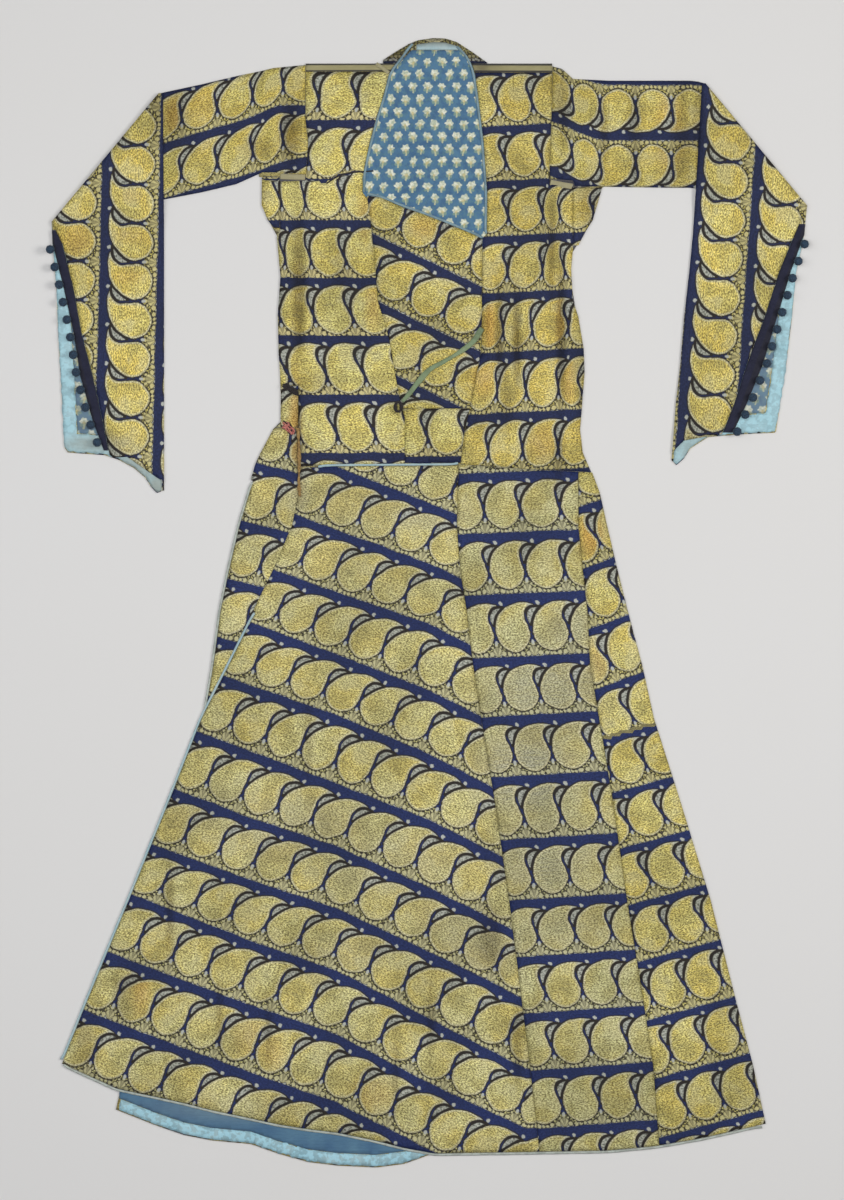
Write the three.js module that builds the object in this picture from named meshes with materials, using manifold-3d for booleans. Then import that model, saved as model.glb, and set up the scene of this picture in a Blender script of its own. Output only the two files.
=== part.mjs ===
// A wrapped silk caftan, laid out flat on its back with both sleeves folded down at the elbow.
// Millimetres. +Z points up from the surface it lies on, +Y towards the neck, +X to the wearer's left.
//
// Every cut piece is a thin wall: its outline, taken between named seams and edges, is cut out of a
// ply. A ply is the space between two heights kept on one lattice, and each ply rests on the plies
// below it. Plies on the same lattice never cross, so the layers lie on each other and stay apart.
import * as THREE from "three";
import { mergeVertices } from "three/addons/utils/BufferGeometryUtils.js";
import Module from "manifold-3d";

const wasm = await Module();
wasm.setup();

// ---- Driving sizes -----------------------------------------------------------------------------
const BROCADE = 1.2; // thickness of the brocade with its backing
const LINING = 1.0; // thickness of linings, facings and bands
const PIPING = 1.8; // thickness of a corded edge
const PIPING_WIDTH = 2.5;
const SEAM_GAP = 0.3; // between pieces sewn side by side
const PLY_GAP = 0.3; // between plies that lie on each other
const FOLD_WIDTH = 2.4; // width of the closed strip where a wall turns over into the next
const SLOPE = 0.12; // steepest fall of a ply off the edge of what lies under it
const CELL = 25; // lattice spacing
const LATTICE = { x0: -450, y0: -650, columns: 36, rows: 52 };
const REACH = CELL * Math.SQRT2; // a ply lifts every lattice point nearer to it than this
const BUTTON_RADIUS = 5;
const BUTTON_SIDES = 8;
const FACING_WIDTH = 15; // light silk along the under edge of the wrist slit
const FACING_DEPTH = 22; // and along the cuff
const HEM_FACING = 14; // light silk inside the back hem
const LINING_LAP = 12; // how far the wrist lining runs in under the top of the sleeve
const RIBBON = { width: 7, thickness: 1.5, sides: 8, steps: 26 };
// The way the ribbon lies, from the front seam to its loop, x and y.
const RIBBON_ROUTE = [
  [60, 304],
  [50, 289],
  [36, 278],
  [18, 267],
  [2, 258],
  [-10, 245],
  [-21, 231],
  [-28.5, 222.5],
];
const CUTTER = { floor: -5, height: 60 };
const LOOP = { x: -33, y: 216.5, radius: 5, wire: 1.1, sides: 8, turns: 18 };

// ---- Curves: a named column of a table, read in straight steps between its rows -----------------
class Curve {
  constructor(rows) {
    this.rows = [...rows].sort((a, b) => a[0] - b[0]);
  }
  at(t) {
    const rows = this.rows;
    let i = rows.findIndex((row) => row[0] > t);
    i = i < 0 ? rows.length - 1 : Math.max(i, 1);
    const [t0, v0] = rows[i - 1];
    const [t1, v1] = rows[i];
    return v0 + ((v1 - v0) * (t - t0)) / (t1 - t0);
  }
  knots(from, to) {
    const inside = this.rows.filter(([t]) => t > Math.min(from, to) + 0.5 && t < Math.max(from, to) - 0.5);
    return from < to ? inside : inside.reverse();
  }
  moved(by) {
    return new Curve(this.rows.map(([t, v]) => [t, v + by]));
  }
  // Moved only below t, where the edge is bound with a piping.
  movedBelow(t, by) {
    const v = this.at(t);
    const rest = this.rows.filter((row) => Math.abs(row[0] - t) > 2);
    const stepped = rest.map((row) => [row[0], row[1] + (row[0] < t ? by : 0)]);
    return new Curve([...stepped, [t + 1, v], [t - 1, v + by]]);
  }
}

function table(names, ...rows) {
  const columns = names.split(" ").slice(1);
  return Object.fromEntries(
    columns.map((name, c) => [
      name,
      new Curve(rows.filter((row) => row[c + 1] !== null).map((row) => [row[0], row[c + 1]])),
    ]),
  );
}

const level = (value) => new Curve([[-1000, value], [1000, value]]);

// ---- The cut: seams and edges ------------------------------------------------------------------
// Edges of the neck opening, x at each height.
const neck = table(
  "y right left",
  [620, -17, null],
  [617, -19, 32],
  [604, -28, 43],
  [589, -40, 49],
  [561, -47, 53],
  [536, -55, 56],
  [510, -62, 59],
  [482, -68, 61],
  [472, -70, 62],
  [454, -69, 63],
  [434, null, 63],
  [407, null, 62],
);
// The collar lies open round the back of the neck, y along its outer edge.
const collar = table(
  "x outer",
  [-50, 602],
  [-36, 611],
  [-21, 620],
  [-11, 624],
  [6, 626.5],
  [19, 626],
  [32, 622],
  [49, 611],
  [66, 599],
);
const COLLAR_BASE = 598;
const COLLAR_ENDS = [-50, 66];
const COLLAR_FACING = { from: -13, to: 35, base: 613, rim: 4.5 }; // rim: the brocade left showing above it
const SHOULDER = { right: 589, left: 588 }; // where the fronts stop under the shoulder strips
const NECK_LINING_ENDS = [613, 392];
const neckLining = table(
  "y right left",
  [613, -18, 37],
  [604, -27, 44],
  [589, -41, 50],
  [583, -50, 56],
  [561, -54, 61],
  [510, -69, 66],
  [472, -77, 69],
  [454, -76, 70],
  [392, -60, 70],
);
// The wearer's right front, x at each height: the armhole, the underarm step, then the side, where
// a gore of the skirt runs up beside it. Its neck edge carries on, hidden, under the overlap.
const rightFront = table(
  "y side neck",
  [589, -136, -42.8],
  [561, null, -49.8],
  [536, -136, -57.8],
  [510, -133, -64.8],
  [482, -135, -70.8],
  [472, null, -72.8],
  [468, -136, null],
  [467, -164.5, null],
  [454, null, -72],
  [450, null, -69],
  [414, -164.5, null],
  [405, -168, null],
  [395, null, 20],
  [362, -164, null],
  [319, -167, null],
  [276, -166, null],
  [241, -163.5, null],
  [240, -144, null],
  [151, -144, 20],
);
// The wearer's left front: its open or sewn front edge, then the armhole and the side.
const leftFront = table(
  "y front side",
  [588, 51.8, 138],
  [561, 55.8, 138],
  [536, 58.8, 137],
  [510, 61.8, 136],
  [482, 63.8, 135],
  [464, null, 135],
  [463, null, 161],
  [454, 65.8, null],
  [434, 65.8, null],
  [409, 65, null],
  [404, 60.5, null],
  [392, null, 161],
  [369, null, 159],
  [335, null, 161],
  [317, null, 167],
  [281, 59.4, 173],
  [255, null, 174],
  [216, 46.6, 171],
  [191, 41, 169],
  [166, null, 172],
  [145, 35, 181],
);
// The back runs on under the arms to the outer edges of the gussets.
const back = table(
  "y right left",
  [598, -136, 138],
  [561, -136, 138],
  [536, -136, 137],
  [510, -133, 136],
  [482, -135, 135],
  [474, -135.5, null],
  [473, -183, null],
  [468, null, 135],
  [467, null, 160.5],
  [461, null, 161],
  [460, null, 191],
  [441, -184, 187],
  [424, -177, 182],
  [405, -167, 171],
  [389, null, 161],
  [362, -163, 158],
  [319, -166, 165],
  [291, null, 171],
  [276, -165, 172],
  [200, -163, 168],
  [166, -182, 171],
  [149, -190.5, 179],
);
const GUSSET = { right: { seam: -164.5, ends: [472, 415] }, left: { seam: 161, ends: [460.5, 396] } };
const gusset = table(
  "y right left",
  [472, -184.5, null],
  [460, -184.8, 193.5],
  [441, -185, 188],
  [424, -178, 183],
  [413, -169.5, 176],
  [396, null, 167],
);
// The overlap of the left front: its free edge across the body, and its neck edge, y along x.
const overlap = table(
  "y free",
  [453, -68],
  [424, -64],
  [377, -59],
  [335, -56],
  [291, -43],
  [255, -37],
  [219, -30],
  [205, -26],
  [151, -26],
);
const overlapNeck = table(
  "x edge",
  [-69, 454],
  [-53, 452],
  [-28, 441],
  [-7, 434],
  [14, 426],
  [36, 417],
  [62, 406],
);
const OVERLAP_PATCH_TOP = 215; // a straight-cut patch makes up the overlap below this height
const waist = table("x seam", [-170, 150], [-98, 152], [34, 153], [100, 148], [182, 144]).seam;

// The skirt, x at each height.
const skirt = table(
  "y overlapEdge panelSeam goreSeam side underEdge",
  [240, null, null, null, null, -163.5],
  [200, null, null, null, null, -164],
  [192, null, null, null, null, -172],
  [164, null, null, null, null, -187],
  [153, -144, 34, 167, 179, -192],
  [121, -144, 33, 167, 191, -201],
  [85, -151, 32, 167, 199, -212],
  [34, -173, 36, 172, 211, -224],
  [-10, -194, 43, 177, 222, -233],
  [-70, -224, 50, 180, 238, -241],
  [-129, -254, 59, 190, 251, -251],
  [-220, -290, 74, 205, 280, -272],
  [-331, -335, 90, 221, 314, -297],
  [-442, -381, 104, 239, 342, -322],
  [-514, -410, 113, 250, 361, -338],
  [-620, -452, 125, 258, 384, -362],
);
const hem = table(
  "x front back",
  [-410, -514, -540],
  [-346, -543, -564],
  [-303, -552, -581],
  [-271, -559, -592],
  [-240, -567, -598],
  [-197, -576, -602],
  [-165, -583, -613],
  [-133, -588, -622],
  [-100, -592, -626],
  [-57, -601, -628],
  [-26, -609, -624],
  [7, -615, -612],
  [81, -614, -611],
  [200, -612, -609],
  [253, -607, -604],
  [305, -598, -595],
  [376, -582, -579],
);
// The right front's skirt runs on under the overlap to this edge, x at each height.
const underSkirt = table("y hidden", [240, -144], [150.2, -144], [149.6, 20], [-620, 60]).hidden;
const UNDER_SKIRT_TOP = 240;
const BACK_HEM_SHOWS = { from: -343, to: 12 }; // where the back hem hangs below the front hem
const LINING_IN = 28; // how far the back skirt's lining runs up under the front hem

// The corded edges, from end to end: heights on the upright ones, x on the level ones.
const PIPED = {
  neckRight: [455, 620],
  neckLeft: [409, 617],
  overlapNeck: [-68, 60],
  waist: [-122, 33.5],
  overlap: [-508, -10],
  side: [-520, 135],
  hem: [-405, 371],
};
const PIPING_TURN = 2; // a piping starts this far below the step where its panel makes room for it

// Each sleeve: its lower arm x at each height, then its upper arm and cuffs, y along x.
const SLEEVES = {
  right: {
    arm: table(
      "y underEdge slitEdge bandEdge inner",
      [565, -299, -299, -299, -294],
      [422, -418, -418, -418, -293],
      [398, -417, -417, -406, -293],
      [350, -413, -405, -394, -293],
      [300, -411, -394, -385, -293],
      [250, -408, -386, -372, -293],
      [200, -405, -372, -361, -293],
      [160, -403, -357, -353, -293],
    ),
    across: table(
      "x top bottom underCuff topCuff",
      [-418, null, 422, null, null],
      [-404, null, null, 172, null],
      [-400, null, null, 166, null],
      [-362, null, null, null, 169],
      [-359, null, null, 163, null],
      [-349, null, null, null, 160],
      [-344, null, null, 158, null],
      [-334, null, null, null, 161],
      [-327, null, null, 149, null],
      [-314, null, null, 138, 147],
      [-307, null, null, 127, null],
      [-301, 564, null, 121, 138],
      [-293, 566, 447, 124, 133],
      [-251, 575, 455, null, null],
      [-213, 584, 464, null, null],
      [-184, 590, 477, null, null],
      [-172, 593, 477, null, null],
      [-131, 597, 475, null, null],
    ),
    armhole: rightFront.side,
    elbow: [565, 422],
    slit: [413, 168],
    side: 1,
  },
  left: {
    arm: table(
      "y underEdge slitEdge bandEdge inner",
      [576, 308, 308, 308, 304],
      [440, 421, 421, 421, 296],
      [408, 418, 418, 407, 294],
      [367, 409, 403, 390, 290],
      [314, 404, 387, 373, 284],
      [264, 398, 372, 354, 280],
      [220, 391, 354, 340, 275],
      [180, 385, 335, 324, 272],
    ),
    across: table(
      "x top bottom underCuff topCuff",
      [138, 595, 470, null, null],
      [149, 592, 469, null, null],
      [161, 581, 468, null, null],
      [163, null, 462, null, null],
      [201, 579, 461, null, null],
      [272, 579, 460, 156, 166],
      [276, null, null, 152, 171],
      [284, null, null, 159, 179],
      [291, 579, 460, 170, null],
      [300, 578, null, 176, 182],
      [311, 575, null, 183, null],
      [328, null, null, null, 186],
      [344, null, null, 186, 187],
      [385, null, null, 188, null],
      [389, null, null, 193, null],
      [421, null, 440, null, null],
    ),
    armhole: leftFront.side,
    elbow: [576, 440],
    slit: [420, 188],
    side: -1,
  },
};
const BUTTONS_ON_A_SLIT = 12;
const BUTTON_ENDS = { right: [391, 177], left: [397, 189] }; // heights of the first and last button

// ---- Outlines ----------------------------------------------------------------------------------
const HALF_GAP = SEAM_GAP / 2;

// The point where an edge x(y) meets an edge y(x).
function corner(upright, across) {
  let y = across.at(0);
  let x = upright.at(y);
  for (let i = 0; i < 60; i++) {
    y = (y + across.at(x)) / 2;
    x = upright.at(y);
  }
  return { x, y };
}

// A piece between a left and a right edge x(y) and a top and a bottom edge y(x), held half a seam
// gap inside all four.
function between({ left, right, top, bottom }) {
  const [l, r] = [left.moved(HALF_GAP), right.moved(-HALF_GAP)];
  const [t, b] = [top.moved(-HALF_GAP), bottom.moved(HALF_GAP)];
  const [lb, rb, rt, lt] = [corner(l, b), corner(r, b), corner(r, t), corner(l, t)];
  return [
    lb,
    ...b.knots(lb.x, rb.x).map(([x, y]) => ({ x, y })),
    rb,
    ...r.knots(rb.y, rt.y).map(([y, x]) => ({ x, y })),
    rt,
    ...t.knots(rt.x, lt.x).map(([x, y]) => ({ x, y })),
    lt,
    ...l.knots(lt.y, lb.y).map(([y, x]) => ({ x, y })),
  ].map(({ x, y }) => new THREE.Vector2(x, y));
}

// A corded edge along an upright edge x(y), between two heights, on the side that by points to.
function uprightPiping(edge, [from, to], by) {
  const sides = [edge, edge.moved(by)].sort((a, b) => a.at(from) - b.at(from));
  return between({
    left: sides[0].moved(-HALF_GAP),
    right: sides[1].moved(HALF_GAP),
    top: level(to),
    bottom: level(from),
  });
}

// A corded edge along a level edge y(x).
function levelPiping(edge, [from, to], by) {
  const sides = [edge, edge.moved(by)].sort((a, b) => a.at(from) - b.at(from));
  return between({
    left: level(from),
    right: level(to),
    top: sides[1].moved(HALF_GAP),
    bottom: sides[0].moved(-HALF_GAP),
  });
}

// ---- The lattice of heights --------------------------------------------------------------------
const latticePoints = [];
for (let j = 0; j <= LATTICE.rows; j++)
  for (let i = 0; i <= LATTICE.columns; i++)
    latticePoints.push(new THREE.Vector2(LATTICE.x0 + i * CELL, LATTICE.y0 + j * CELL));
const stride = LATTICE.columns + 1;

function insideOutline(p, outline) {
  let inside = false;
  outline.forEach((a, i) => {
    const b = outline[(i + 1) % outline.length];
    if (a.y > p.y !== b.y > p.y && p.x < a.x + ((b.x - a.x) * (p.y - a.y)) / (b.y - a.y)) inside = !inside;
  });
  return inside;
}

function nearOutline(p, outline) {
  const along = new THREE.Vector2();
  return outline.some((a, i) => {
    along.subVectors(outline[(i + 1) % outline.length], a);
    const t = THREE.MathUtils.clamp(p.clone().sub(a).dot(along) / along.lengthSq(), 0, 1);
    return p.distanceTo(a.clone().addScaledVector(along, t)) < REACH;
  });
}

// The heights that a new ply rests at: clear of each ply under it, and nowhere steeper than SLOPE.
function bed(under) {
  const heights = latticePoints.map((p) =>
    Math.max(
      0,
      ...under
        .filter((ply) => insideOutline(p, ply.outline) || nearOutline(p, ply.outline))
        .map((ply) => ply.top[latticePoints.indexOf(p)] + PLY_GAP),
    ),
  );
  for (let pass = 0; pass < LATTICE.rows; pass++)
    latticePoints.forEach((_, n) => {
      const i = n % stride;
      if (i > 0) heights[n] = Math.max(heights[n], heights[n - 1] - SLOPE * CELL);
      if (i < LATTICE.columns) heights[n] = Math.max(heights[n], heights[n + 1] - SLOPE * CELL);
      if (n >= stride) heights[n] = Math.max(heights[n], heights[n - stride] - SLOPE * CELL);
      if (n + stride < heights.length) heights[n] = Math.max(heights[n], heights[n + stride] - SLOPE * CELL);
    });
  return heights;
}

const heightAt = (heights, x, y) => {
  const n = Math.floor((x - LATTICE.x0) / CELL) + stride * Math.floor((y - LATTICE.y0) / CELL);
  const [u, v] = [(x - latticePoints[n].x) / CELL, (y - latticePoints[n].y) / CELL];
  const [a, b, c, d] = [n, n + 1, n + stride + 1, n + stride].map((k) => heights[k]);
  return u > v ? a + (b - a) * u + (c - b) * v : a + (d - a) * v + (c - d) * u;
};

// ---- Solids ------------------------------------------------------------------------------------
function toSolid(geometry) {
  const bare = geometry.index ? geometry.toNonIndexed() : geometry.clone();
  bare.deleteAttribute("normal");
  bare.deleteAttribute("uv");
  const merged = mergeVertices(bare, 1e-4);
  return new wasm.Manifold(
    new wasm.Mesh({
      numProp: 3,
      vertProperties: merged.attributes.position.array,
      triVerts: new Uint32Array(merged.index.array),
    }),
  );
}

function toGeometry(solid) {
  const mesh = solid.getMesh();
  const geometry = new THREE.BufferGeometry();
  geometry.setAttribute("position", new THREE.BufferAttribute(mesh.vertProperties, 3));
  geometry.setIndex(new THREE.BufferAttribute(mesh.triVerts, 1));
  return geometry;
}

// A straight-sided block of an outline, tall enough to cut through every ply.
function cutter(outline) {
  const shape = new THREE.Shape(outline);
  const block = new THREE.ExtrudeGeometry(shape, { depth: CUTTER.height, bevelEnabled: false });
  return toSolid(block.translate(0, 0, CUTTER.floor));
}

// The wall inside an outline, between two sets of lattice heights.
function wall(outline, bottom, top) {
  const vertices = [];
  for (const heights of [bottom, top])
    latticePoints.forEach((p, n) => vertices.push(p.x, p.y, heights[n]));
  const upper = latticePoints.length;
  const faces = [];
  for (let j = 0; j < LATTICE.rows; j++)
    for (let i = 0; i < LATTICE.columns; i++) {
      const a = i + j * stride;
      const [b, c, d] = [a + 1, a + stride + 1, a + stride];
      faces.push(a, c, b, a, d, c);
      faces.push(upper + a, upper + b, upper + c, upper + a, upper + c, upper + d);
    }
  const rim = [];
  for (let i = 0; i < LATTICE.columns; i++) rim.push(i);
  for (let j = 0; j < LATTICE.rows; j++) rim.push(LATTICE.columns + j * stride);
  for (let i = LATTICE.columns; i > 0; i--) rim.push(i + LATTICE.rows * stride);
  for (let j = LATTICE.rows; j > 0; j--) rim.push(j * stride);
  rim.forEach((a, k) => {
    const b = rim[(k + 1) % rim.length];
    faces.push(a, b, upper + b, a, upper + b, upper + a);
  });
  const slab = new wasm.Manifold(
    new wasm.Mesh({
      numProp: 3,
      vertProperties: new Float32Array(vertices),
      triVerts: new Uint32Array(faces),
    }),
  );
  return slab.intersect(cutter(outline));
}

// ---- Materials ---------------------------------------------------------------------------------
const finish = (color, roughness, metalness) => () =>
  new THREE.MeshStandardMaterial({ color, roughness, metalness });
const brocade = finish(0xb8a350, 0.5, 0.25);
const brocadeBack = finish(0x8f8145, 0.7, 0.1);
const printedLining = finish(0x46758f, 0.9, 0);
const blueLining = finish(0x3f6c93, 0.9, 0);
const lightSilk = finish(0x96cdd7, 0.5, 0);
const navySilk = finish(0x1f2350, 0.6, 0);
const khakiSilk = finish(0xa59b69, 0.7, 0);
const greenSilk = finish(0x82a57d, 0.5, 0);
const darkThread = finish(0x2a2a30, 0.8, 0);

const caftan = new THREE.Group();

function add(name, geometry, material) {
  const mesh = new THREE.Mesh(geometry, material());
  mesh.name = name;
  caftan.add(mesh);
}

const addSolid = (name, solid, material) =>
  add(name, toGeometry(solid.asOriginal().simplify(1e-3)), material);

// ---- The outlines of a sleeve ------------------------------------------------------------------
// Its upper arm is two walls; its lower arm is two more, folded down over the upper arm. The wall
// on top stops at the slit band, and the wall under it shows its lining and its light silk facing.
function cutSleeve({ arm, across, armhole, elbow, slit, side }) {
  const pair = (outer, inner) => (side > 0 ? { left: outer, right: inner } : { left: inner, right: outer });
  const elbowTop = level(elbow[0]);
  const slitTop = level(slit[0] - FACING_WIDTH);
  const facingEdge = arm.underEdge.moved(side * FACING_WIDTH);
  const facingTop = across.underCuff.moved(FACING_DEPTH);
  const fold = side * FOLD_WIDTH;
  return {
    upper: between({ ...pair(arm.underEdge, armhole), top: across.top, bottom: across.bottom }),
    under: between({ ...pair(arm.underEdge, arm.inner), top: elbowTop, bottom: across.underCuff }),
    top: between({ ...pair(arm.bandEdge, arm.inner), top: elbowTop, bottom: across.topCuff }),
    band: between({ ...pair(arm.slitEdge, arm.bandEdge), top: level(slit[0]), bottom: level(slit[1]) }),
    lining: between({
      ...pair(facingEdge, arm.bandEdge.moved(side * LINING_LAP)),
      top: slitTop,
      bottom: facingTop,
    }),
    facing: between({
      ...pair(arm.underEdge, arm.inner.moved(-fold)),
      top: slitTop,
      bottom: across.underCuff.moved(1),
    }),
    facingHole: between({
      ...pair(facingEdge.moved(-side * SEAM_GAP), arm.inner.moved(side * CELL)),
      top: elbowTop,
      bottom: facingTop.moved(-SEAM_GAP),
    }),
    elbowFold: between({
      ...pair(arm.underEdge, arm.underEdge.moved(2 * fold)),
      top: elbowTop,
      bottom: level(elbow[1]),
    }),
    topFold: between({
      ...pair(arm.underEdge, armhole),
      top: across.top,
      bottom: across.top.moved(-FOLD_WIDTH),
    }),
    bottomFold: between({
      ...pair(arm.underEdge, armhole),
      top: across.bottom.moved(FOLD_WIDTH),
      bottom: across.bottom,
    }),
    innerFold: between({ ...pair(arm.inner.moved(-fold), arm.inner), top: elbowTop, bottom: across.topCuff }),
  };
}

const right = cutSleeve(SLEEVES.right);
const left = cutSleeve(SLEEVES.left);

// ---- Laying the plies --------------------------------------------------------------------------
const laid = [];

// Lays pieces side by side on all that lies so far. A piece with no material is a wall of a sleeve,
// which is joined to the sleeve's other walls once they are all laid.
function lay(pieces) {
  const bottom = bed(laid);
  for (const [name, { outline, hole, thickness = BROCADE, material }] of Object.entries(pieces)) {
    const ply = { name, outline, bottom, top: bottom.map((z) => z + thickness) };
    laid.push(ply);
    if (!material) continue;
    const solid = wall(outline, ply.bottom, ply.top);
    addSolid(name, hole ? solid.subtract(cutter(hole)) : solid, material);
  }
}

const bound = PIPING_WIDTH + SEAM_GAP; // how far a panel stops short of its corded edge
const hemLine = hem.front.moved(bound);
const turned = ([from, to]) => [from, to - PIPING_TURN];

lay({
  back_bodice: {
    outline: between({ left: back.right, right: back.left, top: level(COLLAR_BASE), bottom: waist }),
    material: brocadeBack,
  },
  back_skirt: {
    outline: between({
      left: skirt.underEdge.moved(PIPING_WIDTH),
      right: skirt.side.moved(-1),
      top: waist,
      bottom: hem.back,
    }),
    material: brocadeBack,
  },
  collar_band: {
    outline: between({
      left: level(COLLAR_ENDS[0]),
      right: level(COLLAR_ENDS[1]),
      top: collar.outer,
      bottom: level(COLLAR_BASE),
    }),
    material: brocade,
  },
  right_back: { outline: right.upper },
  left_back: { outline: left.upper },
});

const hemShows = { left: level(BACK_HEM_SHOWS.from), right: level(BACK_HEM_SHOWS.to) };
lay({
  back_neck_lining: {
    outline: between({
      left: neckLining.right,
      right: neckLining.left,
      top: level(NECK_LINING_ENDS[0]),
      bottom: level(NECK_LINING_ENDS[1]),
    }),
    thickness: LINING,
    material: printedLining,
  },
  collar_facing: {
    outline: between({
      left: level(COLLAR_FACING.from),
      right: level(COLLAR_FACING.to),
      top: collar.outer.moved(-COLLAR_FACING.rim),
      bottom: level(COLLAR_FACING.base),
    }),
    thickness: LINING,
    material: lightSilk,
  },
  back_skirt_lining: {
    outline: between({
      ...hemShows,
      top: hem.front.moved(LINING_IN),
      bottom: hem.back.moved(HEM_FACING),
    }),
    thickness: LINING,
    material: blueLining,
  },
  back_hem_facing: {
    outline: between({ ...hemShows, top: hem.back.moved(HEM_FACING), bottom: hem.back.moved(1) }),
    thickness: LINING,
    material: lightSilk,
  },
});

lay({
  front_right_bodice: {
    outline: between({
      left: rightFront.side,
      right: rightFront.neck,
      top: level(SHOULDER.right),
      bottom: waist,
    }),
    material: brocade,
  },
  skirt_right_under: {
    outline: between({
      left: skirt.underEdge.movedBelow(PIPED.side[1], bound),
      right: underSkirt,
      top: level(UNDER_SKIRT_TOP),
      bottom: hem.front.moved(HEM_FACING),
    }),
    material: brocade,
  },
  gusset_right: {
    outline: between({
      left: gusset.right,
      right: level(GUSSET.right.seam),
      top: level(GUSSET.right.ends[0]),
      bottom: level(GUSSET.right.ends[1]),
    }),
    material: brocade,
  },
  shoulder_strip_right: {
    outline: between({
      left: rightFront.side,
      right: neck.right.moved(-bound),
      top: level(COLLAR_BASE),
      bottom: level(SHOULDER.right),
    }),
    material: khakiSilk,
  },
  neck_piping_right: {
    outline: uprightPiping(neck.right, PIPED.neckRight, -PIPING_WIDTH),
    thickness: PIPING,
    material: lightSilk,
  },
  skirt_under_piping: {
    outline: uprightPiping(skirt.underEdge, turned(PIPED.side), PIPING_WIDTH),
    thickness: PIPING,
    material: lightSilk,
  },
  right_front: { outline: right.upper },
});

lay({
  front_left_bodice: {
    outline: between({
      left: leftFront.front,
      right: leftFront.side,
      top: level(SHOULDER.left),
      bottom: waist,
    }),
    material: brocade,
  },
  overlap_upper: {
    outline: between({
      left: overlap.free,
      right: leftFront.front,
      top: overlapNeck.edge.moved(-bound),
      bottom: level(OVERLAP_PATCH_TOP),
    }),
    material: brocade,
  },
  overlap_lower: {
    outline: between({
      left: overlap.free,
      right: leftFront.front,
      top: level(OVERLAP_PATCH_TOP),
      bottom: waist.moved(bound / 2),
    }),
    material: brocade,
  },
  skirt_left_overlap: {
    outline: between({
      left: skirt.overlapEdge.movedBelow(PIPED.overlap[1], bound),
      right: skirt.panelSeam,
      top: waist.moved(-bound / 2),
      bottom: hemLine,
    }),
    material: brocade,
  },
  skirt_left_panel: {
    outline: between({ left: skirt.panelSeam, right: skirt.goreSeam, top: waist, bottom: hemLine }),
    material: brocade,
  },
  skirt_left_gore: {
    outline: between({ left: skirt.goreSeam, right: skirt.side, top: waist, bottom: hemLine }),
    material: brocade,
  },
  gusset_left: {
    outline: between({
      left: level(GUSSET.left.seam),
      right: gusset.left,
      top: level(GUSSET.left.ends[0]),
      bottom: level(GUSSET.left.ends[1]),
    }),
    material: brocade,
  },
  shoulder_strip_left: {
    outline: between({
      left: neck.left.moved(bound),
      right: leftFront.side,
      top: level(COLLAR_BASE),
      bottom: level(SHOULDER.left),
    }),
    material: khakiSilk,
  },
  neck_piping_left: {
    outline: uprightPiping(neck.left, PIPED.neckLeft, PIPING_WIDTH),
    thickness: PIPING,
    material: lightSilk,
  },
  overlap_neck_piping: {
    outline: levelPiping(overlapNeck.edge, PIPED.overlapNeck, -PIPING_WIDTH),
    thickness: PIPING,
    material: lightSilk,
  },
  waist_piping: {
    outline: levelPiping(waist.moved(-PIPING_WIDTH / 2), PIPED.waist, PIPING_WIDTH),
    thickness: PIPING,
    material: lightSilk,
  },
  skirt_overlap_piping: {
    outline: uprightPiping(skirt.overlapEdge, turned(PIPED.overlap), PIPING_WIDTH),
    thickness: PIPING,
    material: lightSilk,
  },
  hem_piping: {
    outline: levelPiping(hem.front, PIPED.hem, PIPING_WIDTH),
    thickness: PIPING,
    material: lightSilk,
  },
  left_front: { outline: left.upper },
});

lay({ right_under: { outline: right.under }, left_under: { outline: left.under } });

lay({
  sleeve_lining_right: { outline: right.lining, thickness: LINING, material: printedLining },
  sleeve_lining_left: { outline: left.lining, thickness: LINING, material: printedLining },
  cuff_facing_right: {
    outline: right.facing,
    hole: right.facingHole,
    thickness: LINING,
    material: lightSilk,
  },
  cuff_facing_left: {
    outline: left.facing,
    hole: left.facingHole,
    thickness: LINING,
    material: lightSilk,
  },
});

const wristBed = bed(laid);
lay({
  right_top: { outline: right.top },
  left_top: { outline: left.top },
  slit_band_right: { outline: right.band, material: navySilk },
  slit_band_left: { outline: left.band, material: navySilk },
});

// ---- Sleeves: four walls, joined where the cloth turns over -------------------------------------
for (const [which, cut] of Object.entries({ right, left })) {
  const ply = (part) => laid.find(({ name }) => name === `${which}_${part}`);
  const walls = ["back", "front", "under", "top"].map(ply);
  const [lowest, front, under, top] = walls;
  const solid = [
    ...walls.map(({ outline, bottom, top: z }) => wall(outline, bottom, z)),
    wall(cut.elbowFold, lowest.bottom, top.top),
    wall(cut.topFold, lowest.bottom, front.top),
    wall(cut.bottomFold, lowest.bottom, front.top),
    wall(cut.innerFold, under.bottom, top.top),
  ].reduce((whole, part) => whole.add(part));
  addSolid(`sleeve_${which}`, solid, brocade);
}

// ---- Buttons: thread balls sewn along each slit, resting on the cloth under it -------------------
const ballProfile = Array.from({ length: BUTTON_SIDES / 2 + 1 }, (_, k) => {
  const angle = Math.PI * ((2 * k) / BUTTON_SIDES - 0.5);
  return new THREE.Vector2(BUTTON_RADIUS * Math.cos(angle), BUTTON_RADIUS * Math.sin(angle));
});
ballProfile[0].x = 0;
ballProfile[BUTTON_SIDES / 2].x = 0;

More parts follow.
